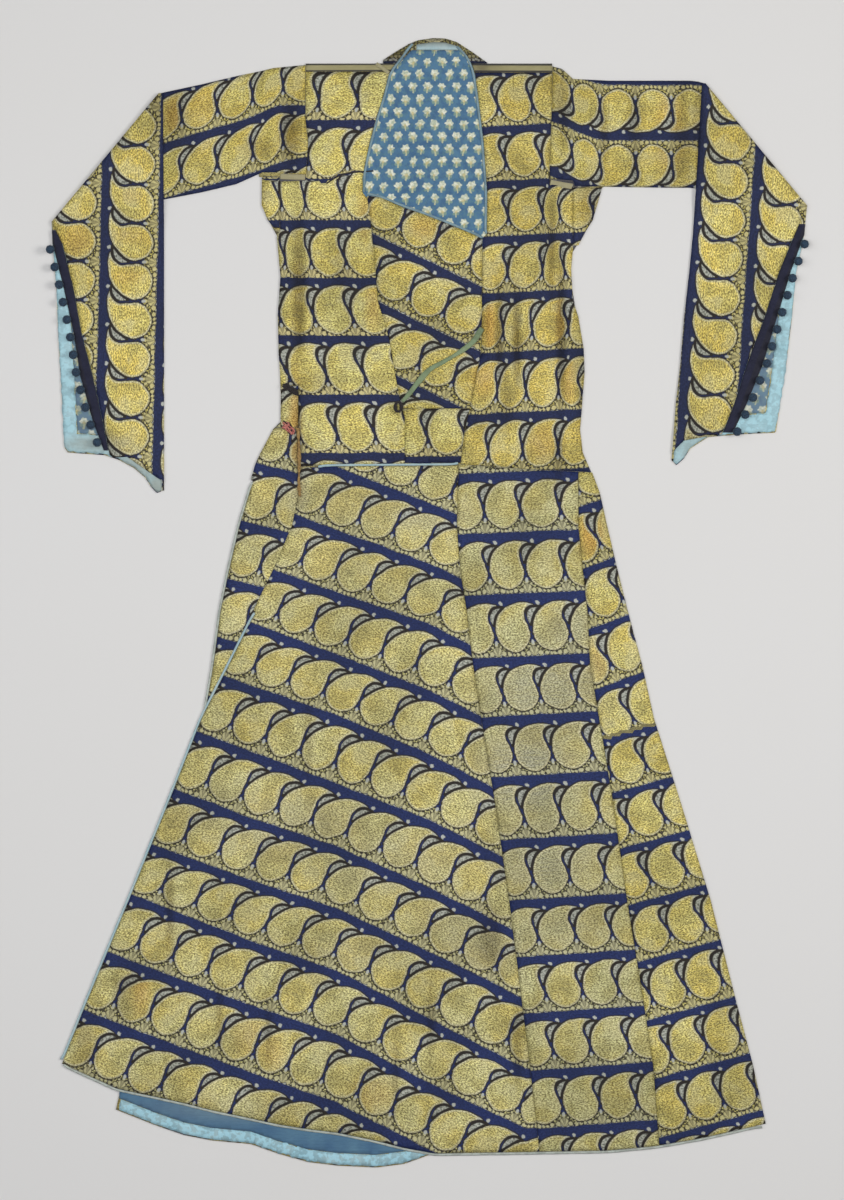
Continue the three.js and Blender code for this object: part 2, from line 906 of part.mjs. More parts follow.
for (const [which, { arm, side }] of Object.entries(SLEEVES)) {
  const band = laid.find(({ name }) => name === `slit_band_${which}`);
  const [first, last] = BUTTON_ENDS[which];
  for (let k = 0; k < BUTTONS_ON_A_SLIT; k++) {
    const y = first + ((last - first) * k) / (BUTTONS_ON_A_SLIT - 1);
    const edge = arm.slitEdge.at(y);
    const z = heightAt(wristBed, edge, y) + BUTTON_RADIUS;
    const above = z - heightAt(band.top, edge, y);
    const off = Math.sqrt((BUTTON_RADIUS + PLY_GAP) ** 2 - Math.min(above, BUTTON_RADIUS) ** 2);
    const ball = new THREE.LatheGeometry(ballProfile, BUTTON_SIDES).rotateX(Math.PI / 2);
    const number = String(k + 1).padStart(2, "0");
    add(`button_${which}_${number}`, ball.translate(edge - side * off, y, z), navySilk);
  }
}

// ---- The tie: a flat ribbon sewn to the left front, and the thread loop that holds its end -------
const topBed = bed(laid);
const ribbonRoute = RIBBON_ROUTE.map(
  ([x, y]) => new THREE.Vector3(x, y, heightAt(topBed, x, y) + RIBBON.thickness / 2),
);
const ribbonSection = new THREE.Shape(
  Array.from({ length: RIBBON.sides }, (_, k) => {
    const angle = (2 * Math.PI * (k + 0.5)) / RIBBON.sides;
    const reach = 1 / Math.cos(Math.PI / RIBBON.sides);
    return new THREE.Vector2(
      (reach * RIBBON.thickness * Math.cos(angle)) / 2,
      (reach * RIBBON.width * Math.sin(angle)) / 2,
    );
  }),
);
add(
  "tie_ribbon",
  new THREE.ExtrudeGeometry(ribbonSection, {
    steps: RIBBON.steps,
    extrudePath: new THREE.CatmullRomCurve3(ribbonRoute),
  }),
  greenSilk,
);

const loopProfile = Array.from({ length: LOOP.sides + 1 }, (_, k) => {
  const angle = (2 * Math.PI * (k % LOOP.sides)) / LOOP.sides;
  return new THREE.Vector2(LOOP.radius + LOOP.wire * Math.cos(angle), LOOP.wire * Math.sin(angle));
});
const loopAt = new THREE.Vector3(LOOP.x, LOOP.y, 0);
loopAt.z = heightAt(topBed, loopAt.x, loopAt.y) + LOOP.wire;
const ring = new THREE.LatheGeometry(loopProfile, LOOP.turns).rotateX(Math.PI / 2);
add("tie_loop", ring.translate(loopAt.x, loopAt.y, loopAt.z), darkThread);

// The origin is under the middle of the whole garment, on the surface it lies on.
const box = new THREE.Box3().setFromObject(caftan);
caftan.position.set(-(box.min.x + box.max.x) / 2, -(box.min.y + box.max.y) / 2, -box.min.z);

export default caftan;
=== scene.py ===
"""The looks of a wrapped silk caftan, laid out flat on its back with both sleeves turned down.

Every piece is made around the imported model, in its frame: metres, +Z up from the surface it lies on,
+Y towards the neck, +X to the wearer's left. Inside the functions, lengths are millimetres.
"""

import math

import bmesh
import bpy
import numpy as np
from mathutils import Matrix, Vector
from mathutils.geometry import delaunay_2d_cdt


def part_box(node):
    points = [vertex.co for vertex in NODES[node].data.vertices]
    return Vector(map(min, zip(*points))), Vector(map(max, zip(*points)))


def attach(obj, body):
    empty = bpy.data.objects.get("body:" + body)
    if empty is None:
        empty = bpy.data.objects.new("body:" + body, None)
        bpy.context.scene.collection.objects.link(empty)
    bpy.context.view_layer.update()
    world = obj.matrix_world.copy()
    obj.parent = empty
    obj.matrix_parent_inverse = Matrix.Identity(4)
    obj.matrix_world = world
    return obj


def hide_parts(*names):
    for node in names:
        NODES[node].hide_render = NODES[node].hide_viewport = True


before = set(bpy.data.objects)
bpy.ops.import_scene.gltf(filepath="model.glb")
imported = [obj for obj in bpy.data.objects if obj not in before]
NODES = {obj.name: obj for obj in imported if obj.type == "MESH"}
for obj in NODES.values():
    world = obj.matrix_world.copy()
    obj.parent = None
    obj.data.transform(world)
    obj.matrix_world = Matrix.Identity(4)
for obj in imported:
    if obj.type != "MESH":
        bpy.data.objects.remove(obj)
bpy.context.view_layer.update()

bl_info = {
    "name": "Laid-out caftan",
    "version": (1, 0, 0),
    "blender": (4, 5, 0),
    "location": "View3D > Sidebar > Caftan",
    "description": "Cloth, linings, corded edges, buttons and tie of a flat-laid silk caftan",
    "category": "Add Mesh",
}

MM = 0.001
BODY = "root"

SIDES = ("right", "left")

# The woven pattern's own cell: one leaf-shaped boteh to a cell, a band under each row of them. A row's
# band lies ROW_MID over the middle of its botehs.
PITCH = 41.0
ROW = 65.5
ROW_MID = 37


# ---- Outlines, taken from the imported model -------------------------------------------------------
# A face counts as upward where its normal rises at least by this much of its length.
FACING_UP = 0.5


def outlines(node):
    """The rims of a node's upward faces: edges with a face on one side only, chained end to end."""
    mesh = NODES[node].data
    co = np.empty(len(mesh.vertices) * 3)
    mesh.vertices.foreach_get("co", co)
    corner = np.empty(len(mesh.loops), int)
    mesh.loops.foreach_get("vertex_index", corner)
    co, same = np.unique(np.round(co.reshape(-1, 3) / MM, 2), axis=0, return_inverse=True)
    tri = same.reshape(-1)[corner.reshape(-1, 3)]
    normal = np.cross(co[tri[:, 1]] - co[tri[:, 0]], co[tri[:, 2]] - co[tri[:, 0]])
    up = tri[normal[:, 2] > FACING_UP * np.linalg.norm(normal, axis=1)]
    edges = {tuple(e) for e in np.concatenate([up[:, [0, 1]], up[:, [1, 2]], up[:, [2, 0]]])}
    follow = {}
    for a, b in sorted(edges):
        if (b, a) not in edges:
            follow.setdefault(a, []).append(b)
    rims = []
    while follow:
        rim = [next(iter(follow))]
        while rim[-1] in follow:
            step = follow[rim[-1]].pop()
            if not follow[rim[-1]]:
                del follow[rim[-1]]
            if step == rim[0]:
                break
            rim.append(step)
        rims.append(co[rim])
    return rims


def outline(node):
    """A node's longest rim, seen from above."""
    return max(outlines(node), key=len)[:, :2]


def resample(path, step, closed=True):
    """The same line with each stretch between its points cut into equal steps."""
    ends = np.roll(path, -1, axis=0) if closed else path[1:]
    starts = path if closed else path[:-1]
    count = np.maximum(1, np.ceil(np.linalg.norm(ends - starts, axis=1) / step)).astype(int)
    which = np.repeat(np.arange(len(starts)), count)
    within = np.arange(len(which)) - np.repeat(np.cumsum(count) - count, count)
    points = starts[which] + (ends - starts)[which] * (within / count[which])[:, None]
    return points if closed else np.vstack([points, path[-1]])


def run_along(path):
    """How far along a line each of its points is."""
    return np.concatenate([[0], np.cumsum(np.linalg.norm(np.diff(path, axis=0), axis=1))])


def inside(points, rim):
    """Even and odd crossings of a level line from each point with the rim."""
    x, y = points[:, 0][:, None], points[:, 1][:, None]
    a, b = rim, np.roll(rim, -1, axis=0)
    crosses = (a[:, 1] > y) != (b[:, 1] > y)
    rise = np.where(b[:, 1] == a[:, 1], 1.0, b[:, 1] - a[:, 1])
    return (crosses & (x < a[:, 0] + (b[:, 0] - a[:, 0]) * (y - a[:, 1]) / rise)).sum(1) % 2 == 1


def to_line(points, path, closed=True):
    """Each point's distance to the nearest straight stretch of a line."""
    a = path if closed else path[:-1]
    d = (np.roll(path, -1, axis=0) if closed else path[1:]) - a
    along = ((points[:, None] - a) * d).sum(2) / np.maximum((d * d).sum(1), 1e-9)
    near = a + d * np.clip(along, 0, 1)[..., None]
    return np.linalg.norm(points[:, None] - near, axis=2).min(1)


# ---- The lie of the cloth: heights over a fine grid, ply on ply ----------------------------------
CELL = 3.0
GRID_X = np.arange(-456, 459, CELL)
GRID_Y = np.arange(-660, 663, CELL)
GRID = np.stack(np.meshgrid(GRID_X, GRID_Y), axis=2)
PLY_AIR = 0.05
FLOOR_AIR = 0.02
# A ply bridges hollows as narrow as this many cells, then bends over a step by a curve this wide.
BRIDGED_CELLS = 3
BEND_WIDTH = 5.0
# How high the slight ripple of a laid ply is, how far in from its rim the folds reach full height, and
# the part of it that they have at the rim.
RIPPLE = 0.16
FOLDS_FROM_RIM = 8
FOLDS_AT_RIM = 0.25


def blurred(field, width):
    """The field spread by a bell curve of that width, worked out by its frequencies."""
    fy = np.fft.fftfreq(field.shape[0], CELL)[:, None]
    fx = np.fft.rfftfreq(field.shape[1], CELL)[None, :]
    bell = np.exp(-2 * (np.pi * width) ** 2 * (fx**2 + fy**2))
    return np.fft.irfft2(np.fft.rfft2(field) * bell, field.shape)


def spread(field, cells):
    """The highest value within so many cells, first along one way and then the other."""
    for axis in (0, 1):
        field = np.max([np.roll(field, k, axis) for k in range(-cells, cells + 1)], axis=0)
    return field


def sample(field, points):
    """The field at points between its cells, by the four nearest."""
    fx = np.clip((points[:, 0] - GRID_X[0]) / CELL, 0, len(GRID_X) - 1.001)
    fy = np.clip((points[:, 1] - GRID_Y[0]) / CELL, 0, len(GRID_Y) - 1.001)
    i, j = fx.astype(int), fy.astype(int)
    u, v = fx - i, fy - j
    low = field[j, i] * (1 - u) + field[j, i + 1] * u
    return low * (1 - v) + (field[j + 1, i] * (1 - u) + field[j + 1, i + 1] * u) * v


class Lie:
    """What lies so far, and the bed that the next ply rests on."""

    def __init__(self):
        self.top = np.zeros(GRID.shape[:2])
        self.bed = self.top.copy()

    def settle(self):
        """The bed of the next ply: what lies so far, bridged and softened."""
        self.bed = np.maximum(blurred(spread(self.top, BRIDGED_CELLS), BEND_WIDTH), 0)

    def cover(self, rim, height):
        """Raises what lies within a rim to a height."""
        within = inside(GRID.reshape(-1, 2), rim).reshape(self.top.shape)
        self.top = np.where(within, np.maximum(height, self.top), self.top)


LIE = Lie()


# Soft folds, from one end to the other: how wide the fold is, how high, and what it lies on.
CREASES = {
    # each x0, y0, x1, y1, half width, height
    "left_front": [
        (70, 352, 73, 258, 8, 4.6), (110, 352, 108, 228, 7, 4.4), (158, 390, 160, 215, 7, 5.0),
        (126, 262, 120, 160, 6, 2.4), (131, 460, 130, 345, 6, 3.4), (-134, -92, -130, -200, 4, 1.0),
        (-275, -294, -291, -399, 4, 1.1), (-207, -352, -191, -392, 4, 0.9),
        (-182, -440, -170, -518, 4, 1.1), (-223, -412, -239, -500, 5, 1.0),
        (-8, -412, 16, -514, 4, 1.2), (-41, -476, -30, -566, 4, 1.1), (52, -330, 86, -410, 5, 1.4),
        (88, -445, 112, -548, 5, 1.5), (-350, -395, -322, -468, 6, 1.3), (-90, -420, -84, -500, 4, 0.9),
        (20, -120, 44, -190, 4, 1.0), (-60, 60, -70, -30, 4, 0.9), (62, 70, 66, 10, 4, 0.8),
        (128, 60, 132, -40, 4, 0.8), (148, -120, 152, -240, 4, 1.0), (200, -470, 206, -590, 5, 1.2),
        (150, -560, 156, -606, 4, 1.0), (320, -470, 330, -570, 5, 1.2), (268, -280, 276, -350, 4, 0.9),
        (196, 80, 200, 20, 4, 1.0), (84, 236, 88, 152, 6, 1.6), (155, 200, 152, 145, 6, 2.0),
        (64, 250, 60, 180, 5, 1.2), (96, 480, 99, 400, 5, 1.0), (104, 205, 106, 150, 4, 1.1),
        (135, 245, 137, 180, 4, 1.2), (172, 300, 176, 200, 6, 1.4), (156, -480, 40, -560, 16, 0.9),
        (100, -380, 175, -300, 14, 0.9), (120, -160, 172, -30, 12, 0.8), (196, 90, 190, 10, 9, 1.2),
        (300, -180, 330, -420, 14, 0.9), (-60, -150, -110, -330, 16, 1.0),
        (-150, -210, -196, -440, 14, 1.0), (-250, -290, -300, -470, 12, 1.2),
        (-20, 90, -60, -40, 12, 0.8), (10, -300, -30, -560, 16, 0.9), (48, 330, 20, 270, 8, 1.0),
        (-30, 400, 30, 330, 9, 0.7),
    ],
    "right_front": [
        (-133, 440, -135, 262, 7, 4.2), (-150, 420, -152, 280, 6, 2.4), (-168, 560, -172, 480, 6, 2.0),
        (-250, 530, -256, 500, 4, 0.9), (-226, 560, -230, 500, 4, 0.8), (-88, 560, -92, 500, 4, 0.7),
        (-112, 388, -118, 300, 7, 1.3), (-96, 300, -92, 180, 7, 1.2), (-150, 262, -132, 196, 6, 2.0),
        (-70, 420, -78, 330, 6, 1.0), (-120, 225, -112, 165, 5, 1.2), (-158, 560, -150, 500, 7, 1.2),
        (-208, 60, -222, -60, 8, 1.0), (-230, 520, -190, 560, 8, 0.8), (-280, 545, -284, 500, 6, 1.6),
        (150, 590, 158, 520, 7, 1.4), (300, 560, 300, 478, 6, 1.2), (240, 560, 232, 480, 9, 0.7),
    ],
    "wrist": [
        (-330, 540, -392, 470, 8, 1.2), (-316, 300, -322, 200, 9, 0.7), (-340, 470, -336, 330, 10, 0.6),
        (352, 540, 400, 470, 8, 1.2), (318, 400, 306, 240, 9, 0.7), (345, 480, 336, 360, 10, 0.6),
    ],
}

FOLD_WAVE = 2.5


def folds(where, points):
    """Bell-shaped ridges along short, slightly waved lines, each dying away towards its two ends."""
    total = np.zeros(points.shape[:-1])
    for x0, y0, x1, y1, half, height in CREASES.get(where, []):
        start, run = np.array([x0, y0], float), np.array([x1 - x0, y1 - y0], float)
        length = np.linalg.norm(run)
        away = points - start
        t = away @ run / length**2
        across = (away[..., 0] * run[1] - away[..., 1] * run[0]) / length
        across = across + FOLD_WAVE * np.sin(5.0 * t + x0)
        fade = np.clip(1.15 * (1 - (2 * t - 1) ** 4), 0, 1)
        total += height * np.exp(-((across / half) ** 2)) * fade
    return total


def ripple(points):
    """The slight, uneven rise and fall of cloth that has been put down by hand."""
    x, y = points[..., 0], points[..., 1]
    return RIPPLE * (
        np.sin(x / 31 + 1.3 * np.sin(y / 57)) * np.sin(y / 43 + 0.8 * np.sin(x / 37))
        + 0.6 * np.sin(x / 17 - y / 23)
    )


# ---- Grain: where the woven rows run on each piece -----------------------------------------------
GRAIN_COLUMNS = "x y slope lean pitch row bend start turn"
GRAINS = {
    # the middle of one boteh, the rows' fall to the right in degrees and the columns' lean, the pitch
    # and the row, and how the rows bend past a start and turn with height
    "wedge": (1, 336.2, 26, 0, 42.7, 65, 0, 0, 0),
    "patch": (21.6, 183.5, -1, 0, 42, 65, 0, 0, 0),
    "outer_top": (196, 3, -20.5, 0.03, 39.5, 65.2, 0, 0, 0),
    "under": (-204.5, 48, 14.5, 0.02, 41, 66, 0, 0, 0),
    "right_arm": (-213.6, 553.6, -16, -0.287, 41, 57.5, 5, 35, 0),
    "right_wrist": (-323, 399.8, -88.6, 0, 43.2, 64, 0, 0, 0),
    "left_arm": (211, 552, 180, 0, 39.8, 61.5, 5.6, 10, 0),
    "left_wrist": (334, 424.8, -86, 0, 43.2, 64.8, 0, 0, 0),
    "collar": (8, 640, 0, 0, 41, 64, 0, 0, 0),
    "under_top": (-147, 209, 6, 0, 41, 66, 0, 0, 0),
    "back_top": (0, 300, 0, 0, 41, 65.5, 0, 0, 0),
    "back_skirt": (0, -100, 0, 0, 41, 65.5, 0, 0, 0),
    "plain": (0, 0, 0, 0, PITCH, ROW, 0, 0, 0),
}

MOST_TURN = (-2.1, 3.4)


def stepped(b, heights, mid):
    """The weave's own height for a height on the piece, one row for each step between bands."""
    h = np.array([heights[0] - 10 * ROW, *heights, heights[-1] + 10 * ROW])
    rows = np.concatenate([[-10], np.arange(len(heights)), [len(heights) + 9]])
    return np.interp(b, h, rows * ROW) + mid


def woven(name, points):
    """Each point in the cloth's own rows and columns: turned to the rows, then leaned and bent."""
    g = dict(zip(GRAIN_COLUMNS.split(), GRAINS[name]))
    dx, dy = points[:, 0] - g["x"], points[:, 1] - g["y"]
    turn = np.radians(g["slope"] + np.clip(g["turn"] * dy / 100, *MOST_TURN))
    a = dx * np.cos(turn) - dy * np.sin(turn)
    b = dx * np.sin(turn) + dy * np.cos(turn)
    b = b + g["bend"] / 2000 * np.maximum(a - g["start"], 0) ** 2
    u = (a + g["lean"] * b) * (PITCH / g["pitch"])
    return np.stack([u, b * (ROW / g["row"])], axis=1)


# The gore's bands sag as they near the middle: where their heights are given, then each band's
# height there, from the hem up. A boteh lies at GORE_X on row GORE_ROW; a row's columns lean back by
# GORE_LEAN from the row's below, and GORE_TIGHT is the cell's pitch over the gore's own.
GORE_AT = (-400, -300, -200, -100, 0, 60, 110)
GORE_BANDS = (
    (-523, -561, -600, -634, -684, -713, -737),
    (-450, -488, -525, -560, -611, -640, -664),
    (-376, -413, -450, -484, -537, -565, -588),
    (-302, -339, -378, -413, -465, -497, -523),
    (-238, -275, -311, -344, -391, -420, -446),
    (-167, -204, -242, -275, -320, -350, -376),
    (-93, -131, -168, -206, -245, -275, -301),
    (-22, -59, -95, -129, -172, -203, -230),
    (48, 11, -25, -62, -101, -131, -156),
    (116, 79, 42, 7, -27, -58, -83),
    (187, 151, 114, 76, 40, 12, -12),
    (256, 219, 183, 146, 107, 82, 62),
)
GORE_X, GORE_ROW = -92, 7.52
GORE_LEAN = 27.5
GORE_TIGHT = 1.067


def rows_gore(points):
    """The row by the bands above and below a point; the columns lean back evenly row by row."""
    bands = np.array([np.interp(points[:, 0], GORE_AT, row) for row in GORE_BANDS])
    share = (points[:, 1] - bands[:-1]) / (bands[1:] - bands[:-1])
    row = np.clip(share, 0, 1).sum(0) + np.minimum(share[0], 0) + np.maximum(share[-1] - 1, 0)
    u = GORE_TIGHT * (points[:, 0] - GORE_X) - GORE_LEAN * (row - GORE_ROW)
    return np.stack([u, row * ROW + ROW_MID], axis=1)


# Pieces gathered by their folds or eased at their seams: for each row of botehs the height of its
# middle, then the gaps between the botehs from the wearer's right to left; and the bands' heights.
GAPS = {
    "right": (
        (128, -176, -134, -92, -50, -8),
        (190, -185, -143, -100, -58, -16),
        (255, -196, -154, -112, -70, -28),
        (318, -203, -164, -126, -83, -40),
        (385, -192, -157, -130, -91, -48),
        (447, -195, -162, -136, -93, -64),
        (521, -216, -174, -131, -88, -45),
        (583, -204, -162, -119, -76, -33),
    ),
    "left": (
        (120, 64, 102, 142, 182, 222),
        (183, 69, 107, 147, 186, 226),
        (243, 79, 110, 146, 167, 207),
        (310, 85, 117, 158, 196, 234),
        (375, 90, 130, 151, 190, 230),
        (440, 90, 129, 146, 184, 222),
        (502, 86, 127, 167, 207, 247),
        (562, 77, 115, 156, 197, 238),
    ),
    "panel": (
        (-625, 116, 157, 198, 239),
        (-560, 108, 150, 192, 233),
        (-496, 98, 139, 181, 223),
        (-433, 90, 131, 172, 212),
        (-370, 82, 123, 164, 205),
        (-302, 76, 117, 158, 197),
        (-232, 64, 106, 148, 190),
        (-165, 55, 96, 138, 182),
        (-100, 43, 84, 125, 166),
        (-30, 34, 75, 116, 158),
        (38, 27, 68, 109, 152),
        (105, 22, 63, 104, 148),
        (172, 17, 58, 99, 143),
    ),
    "outer": (
        (-626, 308, 347, 386),
        (-559, 288, 327, 365),
        (-492, 270, 309, 347),
        (-424, 248, 287, 326),
        (-358, 230, 269, 307),
        (-293, 208, 247, 287),
        (-229, 185, 224, 263),
        (-165, 165, 204, 242),
        (-100, 144, 183, 222),
    ),
}
BAND_HEIGHTS = {
    "right": (162.8, 227.2, 293, 357.3, 421, 487.7, 553),
    "left": (142, 207.5, 275, 341.5, 404.5, 466, 526.5),
    "panel": (-588.4, -523.6, -459.8, -396.4, -333.3, -265.7, -195.7, -128.5, -63.3, 6.7, 74.8, 142),
    "outer": (-588.8, -522.1, -454.9, -386.9, -321.2, -256, -191.8, -128),
}
# Where the bands' heights were taken, how they climb from there and how that changes with height,
# and how far a band lies over the middle of the row below it.
BAND_TILT = {
    "right": (-90, 0.0, 0.0, 41),
    "left": (100, 0.05, 0.0, 38.5),
    "panel": (118, 0.043, -5.5e-5, 37.5),
    "outer": (289.5, 0.27, 0.0, 37.5),
}
# The tuck across the right breast and how much cloth it takes up; the seam that pieces the side gore;
# and where the under skirt's rows start afresh.
TUCK = [(-60, 479.5), (-88, 477), (-100, 473), (-112, 465.5), (-136, 470)]
TUCK_TAKES = 20.7
PIECED = [(190, -152), (262, -131)]
WAIST_ROWS = 195


def charted(side, points):
    """Rows and columns by a piece's chart: both stretch evenly from one gap or band to the next."""
    x, y = points[:, 0], points[:, 1]
    middle, tilt, steeper, mid = BAND_TILT[side]
    y = y - (tilt + steeper * y) * (x - middle)
    chart = np.array(GAPS[side], float)
    gaps = np.array([np.interp(y, chart[:, 0], chart[:, k]) for k in range(1, chart.shape[1])])
    share = (x - gaps[:-1]) / (gaps[1:] - gaps[:-1])
    low, high = np.minimum(share[0], 0), np.maximum(share[-1] - 1, 0)
    u = PITCH * (np.clip(share, 0, 1).sum(0) + low + high) + PITCH / 2
    return np.stack([u, stepped(y, BAND_HEIGHTS[side], mid)], axis=1)


def rows_left_bodice(points):
    """The left front's rows, by its chart."""
    return charted("left", points)


def rows_panel(points):
    """The straight panel's rows, by its chart."""
    return charted("panel", points)


def rows_right_bodice(points):
    """The right front's rows; above the tuck, the cloth that it takes up is left out."""
    line = np.array(TUCK[::-1], float)
    above = points[:, 1] > np.interp(points[:, 0], line[:, 0], line[:, 1])
    return charted("right", points + np.array([0, TUCK_TAKES]) * above[:, None])


def rows_under(points):
    """The under skirt's rows, which start afresh above the waist."""
    return np.where(points[:, 1:] > WAIST_ROWS, woven("under_top", points), woven("under", points))


def rows_outer(points):
    """The side gore's rows, which start afresh where it is pieced."""
    line = np.array(PIECED, float)
    slope = (line[1, 1] - line[0, 1]) / (line[1, 0] - line[0, 0])
    above = points[:, 1] > line[0, 1] + slope * (points[:, 0] - line[0, 0])
    return np.where(above[:, None], woven("outer_top", points), charted("outer", points))


def rows_arm(side, points):
    """An upper arm's rows, drawn together and raised where its seam gathers them at the shoulder."""
    out = np.abs(points[:, 0])
    if side == "left":
        inward = -np.interp(out, [160.5, 191.5], [9, 0])
        down = -np.interp(out, [150, 200], [7, 0])
    else:
        inward = np.interp(out, [161, 193], [6, 0])
        down = -np.interp(out, [137, 165, 205], [2, 5.5, 2])
        down = down * np.interp(points[:, 1], [480, 530], [0.1, 1])
    return woven(f"{side}_arm", points + np.column_stack([inward, down]))


def along_strip(points):
    """A strip's own length and width, its long axis through its middle."""
    _, axes = np.linalg.eigh(np.cov((points - points.mean(0)).T))
    centre = (points.max(0) + points.min(0)) / 2
    return (points - centre) @ axes[:, ::-1]


# ---- Tone: where the cloth has worn to orange, greyed, and lies in shade ------------------------
TONES = {
    # each x, y, half width, half height, how much
    "worn": [
        (69, 306, 7, 36, 0.95), (150, 305, 8, 40, 0.5), (157, 245, 8, 30, 0.6), (62, 250, 14, 22, 0.6),
        (128, 178, 20, 22, 0.5), (182, 76, 13, 26, 1.0), (192, -60, 12, 30, 0.45),
        (-4, 418, 18, 14, 0.5), (-70, 430, 9, 30, 0.5), (-60, 330, 9, 30, 0.5),
        (-281, 540, 12, 22, 0.6), (-147, 196, 7, 56, 0.9), (-250, 540, 22, 40, 0.3),
        (268, 520, 14, 60, 0.5), (-330, 408, 20, 10, 0.35), (-332, 362, 20, 8, 0.35),
        (-330, 452, 14, 8, 0.3), (-388, 402, 18, 20, 0.5), (-318, -425, 10, 30, 0.6),
        (-196, -480, 20, 26, 0.35), (-170, -500, 14, 20, 0.35), (-60, -545, 26, 20, 0.35),
        (-142, 148, 5, 32, 0.6),
    ],
    "greyed": [
        (-366, 176, 44, 11, 0.75), (-322, 150, 34, 26, 0.8), (-300, 130, 12, 16, 0.9),
        (292, 176, 26, 24, 0.5), (8, 624, 60, 6, 0.8), (-36, 606, 22, 10, 0.7), (60, 604, 24, 14, 0.7),
        (-110, -330, 10, 26, 0.35), (-180, -560, 120, 16, 0.25), (130, -100, 70, 60, 0.65),
        (110, -190, 60, 46, 0.85), (130, -280, 60, 50, 0.6), (160, -30, 30, 30, 0.5),
        (60, -380, 60, 40, 0.5), (150, -360, 60, 30, 0.35), (0, 95, 60, 16, 0.5),
        (-60, 100, 90, 40, 0.25), (-143, 120, 14, 46, 0.5), (-100, 60, 200, 120, 0.12),
        (-150, -250, 90, 40, 0.45), (-40, -290, 90, 40, 0.4), (30, -350, 50, 30, 0.45),
        (-230, -230, 60, 30, 0.35), (-90, -390, 70, 24, 0.3),
    ],
    "shaded": [
        (-281, 540, 12, 26, 0.5), (284, 520, 12, 70, 0.6), (230, 520, 8, 60, 0.5),
        (196, 520, 5, 50, 0.6), (8, 624, 60, 6, 0.4), (-36, 606, 22, 10, 0.8), (60, 604, 24, 14, 0.8),
        (60, 594, 9, 6, 1.0), (-143, 345, 8, 80, 0.95), (-128, 245, 20, 14, 0.4),
        (-143, 172, 4, 54, 1.0), (80, 300, 5, 52, 0.9), (99, 290, 5, 58, 0.95), (138, 395, 5, 60, 0.8),
        (148, 305, 5, 92, 0.95), (88, 222, 8, 40, 0.6), (170, 240, 6, 50, 0.5),
        (-100, 360, 10, 40, 0.3), (-186, 455, 10, 20, 0.5), (178, 440, 14, 30, 0.6),
        (146, 160, 6, 40, 0.5), (-152, 520, 12, 40, 0.85), (-186, 505, 18, 14, 0.5),
        (-286, -345, 5, 52, 0.7), (-231, -456, 5, 44, 0.6), (-176, -478, 5, 38, 0.6),
        (4, -462, 5, 46, 0.6), (-35, -520, 5, 44, 0.6), (70, -372, 14, 34, 0.7),
        (100, -496, 7, 46, 0.6), (-336, -440, 14, 30, 0.5), (-132, -146, 5, 52, 0.5),
        (300, 530, 8, 50, 0.6), (150, 545, 8, 50, 0.5), (-380, -495, 18, 30, 0.5),
        (340, -545, 20, 24, 0.3), (-300, 545, 6, 30, 0.5),
    ],
}


def tones(points):
    """Three soft fields, one a kind, each the highest of its patches; a patch fades from its middle."""
    field = np.zeros((len(points), 4))
    field[:, 3] = 1
    for kind, patches in enumerate(TONES.values()):
        for x, y, half_w, half_h, amount in patches:
            away = ((points[:, 0] - x) / half_w) ** 2 + ((points[:, 1] - y) / half_h) ** 2
            field[:, kind] = np.maximum(field[:, kind], amount * np.exp(-(away**1.5)))
    return field


# ---- Meshes --------------------------------------------------------------------------------------
def make_object(name, vertices, faces, material, uv=None, tone=None, smooth=True):
    """A new piece from whole arrays, vertices in millimetres."""
    mesh = bpy.data.meshes.new(name)
    mesh.from_pydata((np.asarray(vertices) * MM).tolist(), [], [list(map(int, f)) for f in faces])
    mesh.validate()
    if uv is not None:
        corner = np.empty(len(mesh.loops), int)
        mesh.loops.foreach_get("vertex_index", corner)
        layer = mesh.uv_layers.new(name="weave")
        layer.data.foreach_set("uv", (np.asarray(uv)[corner] * MM).ravel())
    if tone is not None:
        layer = mesh.attributes.new("tone", "FLOAT_COLOR", "POINT")
        layer.data.foreach_set("color", np.asarray(tone, float).ravel())
    if smooth:
        mesh.polygons.foreach_set("use_smooth", np.ones(len(mesh.polygons), bool))
    mesh.materials.append(material)
    mesh.update()
    piece = bpy.data.objects.new(name, mesh)
    bpy.context.scene.collection.objects.link(piece)
    return piece


# How far apart the rows of a grid of even triangles are, and how far it keeps off the rim, in steps.
ROW_STEP = 0.87
RIM_CLEAR = 0.45


def mesh_within(rim, step):
    """Triangles over a flat outline: a level grid of points inside it, tied to its own rim."""
    edge = resample(rim, step)
    low, high = rim.min(0), rim.max(0)
    xs = np.arange(low[0] + step / 2, high[0], step)
    ys = np.arange(low[1] + step / 2, high[1], step * ROW_STEP)
    grid = np.stack(np.meshgrid(xs, ys), axis=2)
    grid[1::2, :, 0] += step / 2
    grid = grid.reshape(-1, 2)
    grid = grid[inside(grid, rim)]
    grid = grid[to_line(grid, rim) > step * RIM_CLEAR]
    points = np.vstack([edge, grid])
    loop = list(range(len(edge)))
    found = delaunay_2d_cdt([Vector(p) for p in points.tolist()], [], [loop], 1, 1e-4)
    flat = np.array([list(v) for v in found[0]])
    tri = np.array(found[2])
    a, b, c = flat[tri[:, 0]], flat[tri[:, 1]], flat[tri[:, 2]]
    turn = (b[:, 0] - a[:, 0]) * (c[:, 1] - a[:, 1]) - (b[:, 1] - a[:, 1]) * (c[:, 0] - a[:, 0])
    sound = np.abs(turn) > 1e-6
    tri, turn = tri[sound], turn[sound]
    tri[turn < 0] = tri[turn < 0][:, ::-1]
    return flat, tri


